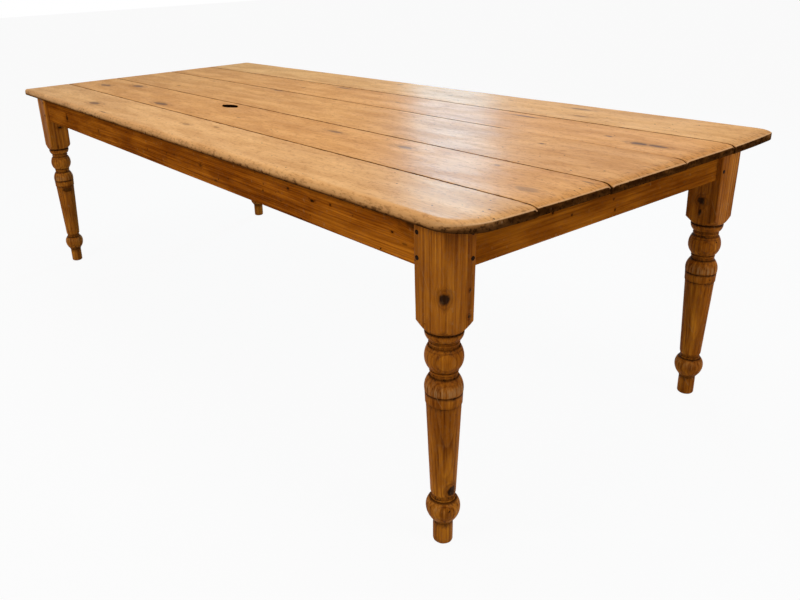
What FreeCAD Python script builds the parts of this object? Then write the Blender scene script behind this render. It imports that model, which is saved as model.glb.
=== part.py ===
import FreeCAD, Part
import math
import os

import Sketcher
from FreeCAD import Placement, Rotation, Vector

# Refectory table in pine: five loose boards on a pegged frame with four turned legs.
# X runs along the top, Y across it, Z up; the origin is on the floor under the middle.
# The front long side faces -Y and the right end faces +X. All sizes are millimetres.

DRIVING_SIZES = {
    # Top
    "table_height": 770,
    "top_length": 2595,
    "top_width": 1113,
    "top_thickness": 24,
    "front_board_width": 190,
    "second_board_width": 220,
    "fourth_board_width": 205,
    "back_board_width": 220,
    "board_gap": 2,
    "front_right_corner_radius": 76,
    "back_right_corner_radius": 30,
    "back_left_corner_radius": 30,
    "front_left_corner_radius": 14,
    "top_edge_round": 8,
    "under_edge_round": 3,
    "end_overhang": 64.5,
    "side_overhang": 28.5,
    "knot_hole_from_left": 1136,
    "knot_hole_inset": 178,
    "knot_hole_length": 64,
    "knot_hole_width": 40,
    # Frame joints
    "apron_height": 102,
    "apron_thickness": 25,
    "apron_setback": 12.5,
    "tenon_thickness": 12,
    "tenon_upper_shoulder": 12,
    "tenon_lower_shoulder": 8,
    "tenon_separation": 5.5,
    "mortise_clearance": 0.2,
    "mortise_end_gap": 1,
    "peg_diameter": 9.6,
    "peg_clearance": 0.1,
    "peg_length": 46,
    "peg_proud": 0.5,
    "peg_inset": 10,
    "peg_upper_drop": 26,
    "peg_lower_drop": 78,
    # Cross bearers, screws and glue blocks under the top
    "bearer_width": 70,
    "bearer_depth": 28,
    "bearer_spacing": 620,
    "bearer_clearance": 0.2,
    "housing_depth": 10,
    "screw_shank_diameter": 5,
    "screw_head_diameter": 9.6,
    "screw_head_height": 2.8,
    "screw_bite": 15,
    "screw_tip_length": 5,
    "screw_tip_diameter": 1,
    "screw_clearance": 0.1,
    "glue_block_side": 20,
    "glue_block_length": 80,
    # Turned leg: heights stack up from the floor, drops are taken from the widest radius
    "head_width": 85,
    "shoulder_radius": 40,
    "foot_radius": 21.5,
    "foot_round": 6,
    "foot_height": 57,
    "fillet_height": 4,
    "fillet_projection": 2,
    "ring_radius": 37.2,
    "ring_lower_height": 32,
    "ring_lower_drop": 12.2,
    "ring_upper_height": 21,
    "ring_upper_drop": 8.2,
    "ankle_radius": 24.5,
    "ankle_height": 13,
    "shaft_round_height": 8,
    "shaft_lower_radius": 27.6,
    "shaft_upper_radius": 36.9,
    "shaft_height": 215,
    "score_width": 2,
    "score_depth": 1.3,
    "band_lower_radius": 38.5,
    "band_upper_radius": 39.4,
    "band_height": 23,
    "bead_radius": 40.3,
    "bead_lower_height": 9,
    "bead_lower_drop": 0.7,
    "bead_upper_height": 27,
    "bead_upper_drop": 9.3,
    "waist_radius": 28,
    "waist_height": 15,
    "ball_radius": 40.4,
    "ball_lower_height": 28,
    "ball_lower_drop": 11.4,
    "ball_upper_height": 25,
    "ball_upper_drop": 6.6,
    "throat_radius": 30,
    "throat_height": 16,
    "collar_radius": 40.2,
    "collar_height": 17,
    "collar_drop": 6.2,
    "quirk_depth": 3.2,
    "quirk_height": 4,
}

BOARDS = ("front_board", "second_board", "middle_board", "fourth_board", "back_board")
MIDDLE_BOARD = BOARDS[2]
BEARERS = {"left_bearer": -1, "middle_bearer": 0, "right_bearer": 1}
SIDE_BAY_BLOCK_COUNT = 2
END_BAY_BLOCK_COUNT = 3
# How far up its neck each fillet ring sits, from 0 at the bottom to 1 at the top
FILLET_SHARES = {"ankle": 0.15, "waist": 0.85, "throat": 0.5}
TOLERANCE = 1e-4

doc = FreeCAD.newDocument("refectory_table")
sheet = doc.addObject("Spreadsheet::Sheet", "sizes")
for row, (alias, number) in enumerate(DRIVING_SIZES.items(), start=1):
    sheet.set(f"A{row}", alias)
    sheet.set(f"B{row}", str(number))
    sheet.setAlias(f"B{row}", alias)
doc.recompute()


class Size:
    """A length that knows both its spreadsheet formula and its present value."""

    def __init__(self, text, value):
        self.text = text
        self.value = value

    @staticmethod
    def of(length):
        if isinstance(length, Size):
            return length
        return Size(f"({float(length)})", float(length))

    def join(self, sign, other, value):
        return Size(f"({self.text} {sign} {other.text})", value)

    def __add__(self, other):
        other = Size.of(other)
        return self.join("+", other, self.value + other.value)

    def __sub__(self, other):
        other = Size.of(other)
        return self.join("-", other, self.value - other.value)

    def __mul__(self, other):
        other = Size.of(other)
        return self.join("*", other, self.value * other.value)

    def __truediv__(self, other):
        other = Size.of(other)
        return self.join("/", other, self.value / other.value)

    def __neg__(self):
        return Size(f"(0 - {self.text})", -self.value)


def size(alias):
    return Size(f"sizes.{alias}", float(sheet.get(alias)))


ZERO = Size.of(0)
nodes = []


def keep(obj, label):
    """Marks an object as one finished piece of the table."""
    obj.Label = label
    nodes.append(obj)
    return obj


def bind(obj, **lengths):
    for name, length in lengths.items():
        obj.setExpression(name, Size.of(length).text)


def place(obj, corner, rotation=Rotation()):
    obj.Placement = Placement(Vector(), rotation)
    for axis, length in zip("xyz", corner):
        obj.setExpression(f".Placement.Base.{axis}", Size.of(length).text)


def box(name, low, lengths):
    obj = doc.addObject("Part::Box", name)
    bind(obj, Length=lengths[0], Width=lengths[1], Height=lengths[2])
    place(obj, low)
    return obj


def cylinder(name, radius, length, start, direction):
    obj = doc.addObject("Part::Cylinder", name)
    bind(obj, Radius=radius, Height=length)
    place(obj, start, Rotation(Vector(0, 0, 1), Vector(*direction)))
    return obj


def cone(name, lower_radius, upper_radius, length, start):
    obj = doc.addObject("Part::Cone", name)
    bind(obj, Radius1=lower_radius, Radius2=upper_radius, Height=length)
    place(obj, start)
    return obj


def fuse(name, shapes):
    obj = doc.addObject("Part::MultiFuse", name)
    obj.Shapes = shapes
    obj.Refine = True
    return obj


def cut(name, base, tools):
    obj = doc.addObject("Part::Cut", name)
    obj.Base = base
    obj.Tool = fuse(f"{name}_tools", tools) if len(tools) > 1 else tools[0]
    obj.Refine = True
    return obj


def group(name, pieces):
    obj = doc.addObject("Part::Compound", name)
    obj.Links = pieces
    return obj


def arc_between(start, end, radius):
    """A convex arc with its centre on the left of the way from start to end."""
    chord = end - start
    middle = (start + end) * 0.5
    left = Vector(-chord.y, chord.x, 0).normalize()
    centre = middle + left * math.sqrt(max(radius**2 - chord.Length**2 / 4, 0))
    first = math.atan2(start.y - centre.y, start.x - centre.x)
    last = math.atan2(end.y - centre.y, end.x - centre.x)
    if last < first:
        last += 2 * math.pi
    return Part.ArcOfCircle(Part.Circle(centre, Vector(0, 0, 1), radius), first, last)


def outline(body, name, plane, points):
    """A closed sketch. Each point is (across, up, radius): the radius bends the way on to the next."""
    sketch = body.newObject("Sketcher::SketchObject", name)
    support = next(f for f in body.Origin.OriginFeatures if f.Role == plane)
    sketch.AttachmentSupport = [(support, "")]
    sketch.MapMode = "FlatFace"
    corners = [Vector(across.value, up.value, 0) for across, up, _ in points]
    for index, (_, _, radius) in enumerate(points):
        start = corners[index]
        end = corners[(index + 1) % len(corners)]
        bent = radius is not None
        sketch.addGeometry(arc_between(start, end, radius.value) if bent else Part.LineSegment(start, end))
    for index, (across, up, radius) in enumerate(points):
        before = (index - 1) % len(points)
        sketch.addConstraint(Sketcher.Constraint("Coincident", before, 2, index, 1))
        for kind, axis, length in (("DistanceX", -2, across), ("DistanceY", -1, up)):
            if length is ZERO:
                sketch.addConstraint(Sketcher.Constraint("PointOnObject", index, 1, axis))
                continue
            rule = sketch.addConstraint(Sketcher.Constraint(kind, -1, 1, index, 1, length.value))
            sketch.setExpression(f"Constraints[{rule}]", length.text)
        if radius is not None:
            rule = sketch.addConstraint(Sketcher.Constraint("Radius", index, radius.value))
            sketch.setExpression(f"Constraints[{rule}]", radius.text)
    return sketch


def pad(body, name, sketch, length):
    feature = body.newObject("PartDesign::Pad", name)
    feature.Profile = sketch
    bind(feature, Length=length)
    return feature


def turn(body, kind, name, sketch):
    feature = body.newObject(f"PartDesign::{kind}", name)
    feature.Profile = sketch
    feature.ReferenceAxis = (sketch, ["V_Axis"])
    feature.Angle = 360
    return feature


# Places that several pieces share
underside = size("table_height") - size("top_thickness")
top_width = size("top_width")
half_head = size("head_width") / 2
leg_x = size("top_length") / 2 - size("end_overhang") - half_head
leg_y = top_width / 2 - size("side_overhang") - half_head
apron_bottom = underside - size("apron_height")
apron_middle = half_head - size("apron_setback") - size("apron_thickness") / 2
apron_inner = apron_middle - size("apron_thickness") / 2
tenon_length = (half_head + apron_middle) - size("tenon_thickness") / 2 - size("tenon_separation")
tenon_bottom = apron_bottom + size("tenon_lower_shoulder")
tenon_height = size("apron_height") - size("tenon_lower_shoulder") - size("tenon_upper_shoulder")
peg_heights = [underside - size("peg_lower_drop"), underside - size("peg_upper_drop")]
peg_hole_radius = size("peg_diameter") / 2 + size("peg_clearance")
bearer_bottom = underside - size("bearer_depth")
bearer_half_length = leg_y + apron_inner + size("housing_depth") - size("bearer_clearance")


def board_width(name):
    """A board's width. The middle board fills what the other four and the gaps leave."""
    if name != MIDDLE_BOARD:
        return size(f"{name}_width")
    width = top_width - size("board_gap") * (len(BOARDS) - 1)
    for other in BOARDS:
        if other != name:
            width = width - size(f"{other}_width")
    return width


def board_low_edges():
    """The front edge of each board, from the front of the top to its back."""
    edges = {}
    edge = -(top_width / 2)
    for name in BOARDS:
        edges[name] = edge
        edge = edge + board_width(name) + size("board_gap")
    return edges


board_edges = board_low_edges()


def board_points(name):
    """A board's plan from its own front left corner, with the top's round corners on the outer boards."""
    length = size("top_length")
    width = board_width(name)
    if name == BOARDS[0]:
        left = size("front_left_corner_radius")
        right = size("front_right_corner_radius")
        front = [(left, ZERO, None), (length - right, ZERO, right), (length, right, None)]
        back = [(length, width, None), (ZERO, width, None), (ZERO, left, left)]
    elif name == BOARDS[-1]:
        left = size("back_left_corner_radius")
        right = size("back_right_corner_radius")
        front = [(ZERO, ZERO, None), (length, ZERO, None), (length, width - right, right)]
        back = [(length - right, width, None), (left, width, left), (ZERO, width - left, None)]
    else:
        front = [(ZERO, ZERO, None), (length, ZERO, None)]
        back = [(length, width, None), (ZERO, width, None)]
    return front + back


def rim_edges(shape, name, level):
    """The edges of one face of a board that lie on the rim of the top, not along a seam."""
    width = board_width(name).value
    seams = []
    if name != BOARDS[0]:
        seams.append(0.0)
    if name != BOARDS[-1]:
        seams.append(width)
    names = []
    for number, edge in enumerate(shape.Edges, start=1):
        heights = [vertex.Z for vertex in edge.Vertexes]
        if max(abs(height - level) for height in heights) > TOLERANCE:
            continue
        depths = [vertex.Y for vertex in edge.Vertexes]
        if any(max(abs(depth - seam) for depth in depths) < TOLERANCE for seam in seams):
            continue
        names.append(f"Edge{number}")
    return names


def round_rim(body, base, name, alias, level):
    feature = body.newObject("PartDesign::Fillet", f"{name}_{alias}")
    doc.recompute()
    feature.Base = (base, rim_edges(base.Shape, name, level))
    bind(feature, Radius=size(alias))
    doc.recompute()
    return feature


def screw_place(board_name, step):
    across = board_edges[board_name] + board_width(board_name) / 2
    return size("bearer_spacing") * step, across


def make_board(name):
    body = doc.addObject("PartDesign::Body", f"{name}_body")
    plan = outline(body, f"{name}_plan", "XY_Plane", board_points(name))
    slab = pad(body, f"{name}_slab", plan, size("top_thickness"))
    worn = round_rim(body, slab, name, "top_edge_round", size("top_thickness").value)
    round_rim(body, worn, name, "under_edge_round", 0.0)
    place(body, (-(size("top_length") / 2), board_edges[name], underside))
    pilot_radius = size("screw_shank_diameter") / 2 + size("screw_clearance")
    pilot_depth = size("screw_bite") + size("screw_clearance")
    holes = []
    for bearer, step in BEARERS.items():
        along, across = screw_place(name, step)
        start = (along, across, underside)
        holes.append(cylinder(f"{name}_{bearer}_pilot", pilot_radius, pilot_depth, start, (0, 0, 1)))
    if name == BOARDS[1]:
        holes.append(knot_hole())
    keep(cut(f"{name}_cut", body, holes), name)


def knot_hole():
    """The hole that a lost knot left, widest at the top face and open underneath."""
    hole = doc.addObject("Part::Ellipsoid", "knot_hole")
    bind(hole, Radius1=size("top_thickness") * 2)
    bind(hole, Radius2=size("knot_hole_length") / 2, Radius3=size("knot_hole_width") / 2)
    along = size("knot_hole_from_left") - size("top_length") / 2
    place(hole, (along, board_edges[BOARDS[1]] + size("knot_hole_inset"), size("table_height")))
    return hole


def bulge_radius(drop, height):
    """The arc that leaves the widest point upright and falls in by drop over height."""
    return (drop * drop + height * height) / (drop * 2)


def neck(profile, name, low):
    """A straight neck with one thin fillet ring around it. Returns its top."""
    radius = size(f"{name}_radius")
    height = size(f"{name}_height")
    gap = (height - size("fillet_height")) * FILLET_SHARES[name]
    ring = radius + size("fillet_projection")
    for across, up in (
        (radius, low),
        (radius, low + gap),
        (ring, low + gap),
        (ring, low + gap + size("fillet_height")),
        (radius, low + gap + size("fillet_height")),
        (radius, low + height),
    ):
        profile.append((across, up, None))
    return low + height


def bulge(profile, name, low):
    """A round swelling between two necks. Returns its top."""
    widest = size(f"{name}_radius")
    lower_height = size(f"{name}_lower_height")
    upper_height = size(f"{name}_upper_height")
    lower_drop = size(f"{name}_lower_drop")
    upper_drop = size(f"{name}_upper_drop")
    top = low + lower_height + upper_height
    profile.append((widest - lower_drop, low, bulge_radius(lower_drop, lower_height)))
    profile.append((widest, low + lower_height, bulge_radius(upper_drop, upper_height)))
    profile.append((widest - upper_drop, top, None))
    return top


def score(profile, lower_radius, low):
    """A cut line round the leg. Returns the height above it."""
    profile.append((lower_radius, low, None))
    profile.append((lower_radius - size("score_depth"), low + size("score_width") / 2, None))
    return low + size("score_width")


def leg_profile():
    """The turned part from the floor up to the square head. Returns it with the head's lowest height."""
    foot = size("foot_radius")
    round_foot = size("foot_round")
    profile = [(ZERO, ZERO, None), (foot - round_foot, ZERO, round_foot), (foot, round_foot, None)]
    level = size("foot_height")
    profile.append((foot, level, None))
    profile.append((foot + size("fillet_projection"), level, None))
    level = level + size("fillet_height")
    profile.append((foot + size("fillet_projection"), level, None))
    level = bulge(profile, "ring", level)
    level = neck(profile, "ankle", level)
    shaft_drop = size("shaft_lower_radius") - size("ankle_radius")
    ankle = profile.pop()
    profile.append((ankle[0], ankle[1], bulge_radius(shaft_drop, size("shaft_round_height"))))
    level = level + size("shaft_round_height")
    profile.append((size("shaft_lower_radius"), level, None))
    level = score(profile, size("shaft_upper_radius"), level + size("shaft_height"))
    profile.append((size("band_lower_radius"), level, None))
    level = score(profile, size("band_upper_radius"), level + size("band_height"))
    level = bulge(profile, "bead", level)
    level = neck(profile, "waist", level)
    level = bulge(profile, "ball", level)
    level = neck(profile, "throat", level)
    collar = size("collar_radius")
    collar_arc = bulge_radius(size("collar_drop"), size("collar_height"))
    profile.append((collar - size("collar_drop"), level, collar_arc))
    level = level + size("collar_height")
    profile.append((collar, level, None))
    profile.append((collar - size("quirk_depth"), level, None))
    level = level + size("quirk_height")
    profile.append((collar - size("quirk_depth"), level, None))
    profile.append((ZERO, level, None))
    return profile, level


def leg_blank(name):
    """The leg before its joints are cut: a square head, its corners turned away, on the turned part."""
    body = doc.addObject("PartDesign::Body", f"{name}_blank")
    profile, head_bottom = leg_profile()
    width = size("head_width")
    square = outline(body, f"{name}_square", "XY_Plane", [
        (ZERO, ZERO, None), (width, ZERO, None), (width, width, None), (ZERO, width, None)])
    square.setExpression(".AttachmentOffset.Base.x", (-half_head).text)
    square.setExpression(".AttachmentOffset.Base.y", (-half_head).text)
    square.setExpression(".AttachmentOffset.Base.z", head_bottom.text)
    head = pad(body, f"{name}_head", square, underside - head_bottom)
    foot_of_slope = size("shoulder_radius")
    reach = half_head / 2
    slope = outline(body, f"{name}_slope", "XZ_Plane", [
        (foot_of_slope, head_bottom, None),
        (foot_of_slope + reach, head_bottom, None),
        (foot_of_slope + reach, head_bottom + reach, None)])
    shoulder = turn(body, "Groove", f"{name}_shoulder", slope)
    turned = outline(body, f"{name}_profile", "XZ_Plane", profile)
    turn(body, "Revolution", f"{name}_turning", turned)
    doc.recompute()
    if shoulder.Shape.Volume >= head.Shape.Volume:
        raise RuntimeError(f"{name}: the shoulder took nothing off the head")
    return body


def peg_axes():
    """Peg starts and directions on a leg whose outer faces are +X and -Y."""
    inset = half_head - size("peg_inset")
    for height in peg_heights:
        yield (-inset, -half_head, height), (0, 1, 0)
        yield (half_head, inset, height), (-1, 0, 0)


def mortises(name):
    """Two slots for the tenons, with one clearance all round and a gap at the tenon's end."""
    clearance = size("mortise_clearance")
    depth = tenon_length + size("mortise_end_gap")
    breadth = size("tenon_thickness") + clearance * 2
    low = tenon_bottom - clearance
    high = tenon_height + clearance * 2
    long_low = (-half_head, -apron_middle - breadth / 2, low)
    end_low = (apron_middle - breadth / 2, half_head - depth, low)
    long_slot = box(f"{name}_long_slot", long_low, (depth, breadth, high))
    end_slot = box(f"{name}_end_slot", end_low, (breadth, depth, high))
    return [long_slot, end_slot]


def make_leg(name, x, y, degrees):
    tools = mortises(name)
    pegs = []
    hole_length = size("peg_length") + size("peg_clearance")
    for number, (start, way) in enumerate(peg_axes(), start=1):
        tools.append(cylinder(f"{name}_peg_hole_{number}", peg_hole_radius, hole_length, start, way))
        proud = [Size.of(at) - size("peg_proud") * step for at, step in zip(start, way)]
        length = size("peg_length") + size("peg_proud")
        pegs.append(cylinder(f"{name}_peg_{number}", size("peg_diameter") / 2, length, proud, way))
    rotation = Rotation(Vector(0, 0, 1), degrees)
    for piece, label in ((cut(f"{name}_cut", leg_blank(name), tools), name),
                         (group(f"{name}_peg_set", pegs), f"{name}_pegs")):
        place(piece, (x, y, 0), rotation)
        keep(piece, label)


def make_long_apron(name, side):
    """An apron along X, tenoned at both ends and housed for the bearers. side is -1 front, 1 back."""
    thickness = size("apron_thickness")
    half_span = leg_x - half_head
    middle = (leg_y + apron_middle) * side
    board = box(f"{name}_board", (-half_span, middle - thickness / 2, apron_bottom),
                (half_span * 2, thickness, size("apron_height")))
    reach = half_span + tenon_length
    tongue = box(f"{name}_tenons", (-reach, middle - size("tenon_thickness") / 2, tenon_bottom),
                 (reach * 2, size("tenon_thickness"), tenon_height))
    holes = []
    for end in (-1, 1):
        for height in peg_heights:
            start = ((half_span + size("peg_inset")) * end, middle - thickness / 2, height)
            label = f"{name}_peg_hole_{len(holes)}"
            holes.append(cylinder(label, peg_hole_radius, thickness, start, (0, 1, 0)))
    clearance = size("bearer_clearance")
    inner_face = (leg_y + apron_inner) * side
    housing_low = inner_face if side > 0 else inner_face - size("housing_depth")
    for bearer, step in BEARERS.items():
        low = size("bearer_spacing") * step - size("bearer_width") / 2 - clearance
        room = (size("bearer_width") + clearance * 2, size("housing_depth"), size("bearer_depth"))
        holes.append(box(f"{name}_{bearer}_housing", (low, housing_low, bearer_bottom), room))
    keep(cut(f"{name}_cut", fuse(f"{name}_blank", [board, tongue]), holes), name)


def make_end_apron(name, side):
    """An apron along Y, tenoned at both ends. side is -1 left, 1 right."""
    thickness = size("apron_thickness")
    half_span = leg_y - half_head
    middle = (leg_x + apron_middle) * side
    board = box(f"{name}_board", (middle - thickness / 2, -half_span, apron_bottom),
                (thickness, half_span * 2, size("apron_height")))
    reach = half_span + tenon_length
    tongue = box(f"{name}_tenons", (middle - size("tenon_thickness") / 2, -reach, tenon_bottom),
                 (size("tenon_thickness"), reach * 2, tenon_height))
    holes = []
    for end in (-1, 1):
        for height in peg_heights:
            start = (middle - thickness / 2, (half_span + size("peg_inset")) * end, height)
            label = f"{name}_peg_hole_{len(holes)}"
            holes.append(cylinder(label, peg_hole_radius, thickness, start, (1, 0, 0)))
    keep(cut(f"{name}_cut", fuse(f"{name}_blank", [board, tongue]), holes), name)


def make_screw(name, along, across):
    """A countersunk wood screw driven up through a bearer into a board."""
    shank = size("screw_shank_diameter") / 2
    head_top = bearer_bottom + size("screw_head_height")
    tip_base = underside + size("screw_bite") - size("screw_tip_length")
    head = cone(f"{name}_head", size("screw_head_diameter") / 2, shank, size("screw_head_height"),
                (along, across, bearer_bottom))
    stem = cylinder(f"{name}_stem", shank, tip_base - head_top, (along, across, head_top), (0, 0, 1))
    tip = cone(f"{name}_tip", shank, size("screw_tip_diameter") / 2, size("screw_tip_length"),
               (along, across, tip_base))
    return fuse(name, [head, stem, tip])


def make_bearer(name, step):
    width = size("bearer_width")
    clearance = size("screw_clearance")
    shank_hole = size("screw_shank_diameter") / 2 + clearance
    low = size("bearer_spacing") * step - width / 2
    batten = box(f"{name}_batten", (low, -bearer_half_length, bearer_bottom),
                 (width, bearer_half_length * 2, size("bearer_depth")))
    holes = []
    screws = []
    for board_name in BOARDS:
        along, across = screw_place(board_name, step)
        start = (along, across, bearer_bottom)
        label = f"{name}_{board_name}"
        holes.append(cylinder(f"{label}_hole", shank_hole, size("bearer_depth"), start, (0, 0, 1)))
        holes.append(cone(f"{label}_countersink", size("screw_head_diameter") / 2 + clearance, shank_hole,
                          size("screw_head_height"), start))
        screws.append(make_screw(f"{label}_screw", along, across))
    keep(cut(f"{name}_cut", batten, holes), name)
    keep(group(f"{name}_screw_set", screws), f"{name}_screws")


def bay_places(low, high, count):
    """The middles of glue blocks spread evenly between two ends."""
    return [low + (high - low) * (number / (count + 1)) for number in range(1, count + 1)]


def long_block_places():
    """Glue blocks in each bay of a long apron, clear of the legs and the bearers."""
    half_span = leg_x - half_head
    half_bearer = size("bearer_width") / 2
    middles = [size("bearer_spacing") * step for step in BEARERS.values()]
    starts = [-half_span] + [middle + half_bearer for middle in middles]
    ends = [middle - half_bearer for middle in middles] + [half_span]
    return [at for low, high in zip(starts, ends) for at in bay_places(low, high, SIDE_BAY_BLOCK_COUNT)]


def make_glue_blocks(name, side, along_x):
    """Square rubbed blocks in the corner between one apron and the underside of the top."""
    block = size("glue_block_side")
    length = size("glue_block_length")
    inner_face = ((leg_y if along_x else leg_x) + apron_inner) * side
    low_face = inner_face - block if side > 0 else inner_face
    half_span = leg_y - half_head
    places = long_block_places() if along_x else bay_places(-half_span, half_span, END_BAY_BLOCK_COUNT)
    blocks = []
    for number, at in enumerate(places, start=1):
        start = at - length / 2
        low = (start, low_face, underside - block) if along_x else (low_face, start, underside - block)
        lengths = (length, block, block) if along_x else (block, length, block)
        blocks.append(box(f"{name}_{number}", low, lengths))
    keep(group(f"{name}_set", blocks), name)


for board in BOARDS:
    make_board(board)
make_leg("front_right_leg", leg_x, -leg_y, 0)
make_leg("back_right_leg", leg_x, leg_y, 90)
make_leg("back_left_leg", -leg_x, leg_y, 180)
make_leg("front_left_leg", -leg_x, -leg_y, 270)
make_long_apron("front_apron", -1)
make_long_apron("back_apron", 1)
make_end_apron("left_apron", -1)
make_end_apron("right_apron", 1)
for bearer, step in BEARERS.items():
    make_bearer(bearer, step)
make_glue_blocks("front_glue_blocks", -1, True)
make_glue_blocks("back_glue_blocks", 1, True)
make_glue_blocks("left_glue_blocks", -1, False)
make_glue_blocks("right_glue_blocks", 1, False)
doc.recompute()

failed = [obj.Name for obj in doc.Objects if {"Invalid", "Error"} & set(obj.State)]
if failed:
    raise RuntimeError(f"features that failed: {failed}")
for node in nodes:
    if node.Shape.isNull() or not node.Shape.isValid() or not node.Shape.Solids:
        raise RuntimeError(f"{node.Label} has no sound shape")

os.makedirs("parts", exist_ok=True)
for node in nodes:
    node.Shape.exportStep(f"parts/{node.Label}.step")
    extent = node.Shape.optimalBoundingBox(False, False)
    print(f"{node.Label}: {len(node.Shape.Solids)} solids, "
          f"{extent.XLength:.1f} x {extent.YLength:.1f} x {extent.ZLength:.1f} mm")
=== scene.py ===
# %% [markdown]
# # A waxed pine refectory table
# The table is a boarded top on a pegged frame with four turned legs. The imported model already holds
# every piece at its real size, so this lesson only dresses it: the pieces that show get finer, worn
# meshes in the same places, and every piece gets a finish made of nodes. We work in metres, with X
# along the top, Y across it and Z up.

# %% Load the frame
from functools import partialmethod
from math import cos, exp, hypot, pi, radians, sin, sqrt

import bpy
from mathutils import Matrix, Vector, noise


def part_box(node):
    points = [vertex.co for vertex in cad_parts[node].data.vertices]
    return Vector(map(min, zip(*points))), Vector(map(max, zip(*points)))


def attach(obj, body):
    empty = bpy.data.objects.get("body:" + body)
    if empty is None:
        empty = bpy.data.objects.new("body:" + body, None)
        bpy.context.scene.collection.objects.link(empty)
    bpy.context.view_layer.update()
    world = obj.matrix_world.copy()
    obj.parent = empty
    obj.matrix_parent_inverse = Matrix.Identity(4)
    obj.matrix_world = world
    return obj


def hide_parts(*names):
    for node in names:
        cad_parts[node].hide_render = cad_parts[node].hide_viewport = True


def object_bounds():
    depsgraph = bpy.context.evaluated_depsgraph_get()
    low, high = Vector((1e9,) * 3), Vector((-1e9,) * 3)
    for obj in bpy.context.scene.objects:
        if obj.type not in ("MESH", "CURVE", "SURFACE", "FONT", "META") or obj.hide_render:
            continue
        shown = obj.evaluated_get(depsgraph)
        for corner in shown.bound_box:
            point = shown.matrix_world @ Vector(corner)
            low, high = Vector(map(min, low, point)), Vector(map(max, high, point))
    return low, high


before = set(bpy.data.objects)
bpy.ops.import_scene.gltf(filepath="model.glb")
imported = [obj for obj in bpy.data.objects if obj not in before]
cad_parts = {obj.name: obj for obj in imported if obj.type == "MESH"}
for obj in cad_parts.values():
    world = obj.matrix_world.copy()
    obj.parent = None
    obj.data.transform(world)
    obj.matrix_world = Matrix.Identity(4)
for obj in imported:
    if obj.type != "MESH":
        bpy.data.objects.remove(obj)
cad_low, cad_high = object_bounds()
scene = bpy.context.scene
print("frame:", len(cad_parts), "pieces, box", cad_low[:], cad_high[:])

# %% [markdown]
# ## The camera
# The photograph was taken from beside the right end, a little above the top, with the lens axis left
# of and above the picture's middle. Blender says that with a lens shift. The place, angles and focal
# length come from fitting the top's corners, the legs and the aprons to the picture.

# %% Camera
PHOTO_WIDTH_PX = 800
PHOTO_HEIGHT_PX = 600
FOCAL_LENGTH_PX = 767.94
LENS_AXIS_PX = (333.70, 255.90)
SENSOR_WIDTH_MM = 36.0
CAMERA_PLACE = Vector((2.1854, -1.4589, 1.1933))
CAMERA_YAW = radians(54.4187)
CAMERA_PITCH = radians(-20.4583)
CAMERA_ROLL = radians(-2.6666)


def new_object(name, data):
    """A new object in the scene."""
    thing = bpy.data.objects.new(name, data)
    scene.collection.objects.link(thing)
    return thing


def camera_axes(yaw, pitch, roll):
    """The camera's right, up and forward directions."""
    level_reach = cos(pitch)
    forward = Vector((-sin(yaw) * level_reach, cos(yaw) * level_reach, sin(pitch)))
    level = Vector((cos(yaw), sin(yaw), 0))
    upright = level.cross(forward)
    right = level * cos(roll) + upright * sin(roll)
    return right, right.cross(forward), forward


lens = bpy.data.cameras.new("photo_lens")
lens.sensor_fit = "HORIZONTAL"
lens.sensor_width = SENSOR_WIDTH_MM
lens.lens = FOCAL_LENGTH_PX * SENSOR_WIDTH_MM / PHOTO_WIDTH_PX
lens.shift_x = (PHOTO_WIDTH_PX / 2 - LENS_AXIS_PX[0]) / PHOTO_WIDTH_PX
lens.shift_y = (LENS_AXIS_PX[1] - PHOTO_HEIGHT_PX / 2) / PHOTO_WIDTH_PX
camera = new_object("photo_camera", lens)
right, up, forward = camera_axes(CAMERA_YAW, CAMERA_PITCH, CAMERA_ROLL)
aimed = Matrix((right, up, -forward)).transposed().to_4x4()
camera.matrix_world = Matrix.Translation(CAMERA_PLACE) @ aimed
scene.camera = camera
print("camera:", round(lens.lens, 2), "mm lens, shift", round(lens.shift_x, 4), round(lens.shift_y, 4))

# %% [markdown]
# ## Short names for nodes
# A finish is a graph of nodes. A small helper adds a node, sets its values and links its inputs in one
# call, and what comes out of a node can be added and multiplied like a number. Shared effects go into
# node groups with named sockets, and each material places them with its own values.


# %% Node helper
class Value:
    """A node's output. A sign adds a Math node, or a Vector Math node where it is a vector."""

    def __init__(self, graph, socket):
        self.graph = graph
        self.socket = socket

    def math(self, operation, other=0.0):
        return self.graph.math(operation, self, other)

    def swapped(self, operation, other):
        return self.graph.math(operation, other, self)

    __add__ = partialmethod(math, "ADD")
    __sub__ = partialmethod(math, "SUBTRACT")
    __rsub__ = partialmethod(swapped, "SUBTRACT")
    __mul__ = partialmethod(math, "MULTIPLY")
    __truediv__ = partialmethod(math, "DIVIDE")
    __rtruediv__ = partialmethod(swapped, "DIVIDE")
    __pow__ = partialmethod(math, "POWER")
    most = partialmethod(math, "MAXIMUM")

    def scaled(self, factor):
        return self.graph.add("VectorMath", 0, {0: self, "Scale": factor}, operation="SCALE")

    def length(self):
        return self.graph.add("VectorMath", "Value", {0: self}, operation="LENGTH")

    def fade(self, low, high, start=0.0, end=1.0):
        """Goes smoothly from start to end while this goes from low to high."""
        values = {"Value": self, "From Min": low, "From Max": high, "To Min": start, "To Max": end}
        return self.graph.add("MapRange", 0, values, interpolation_type="SMOOTHSTEP")


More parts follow.
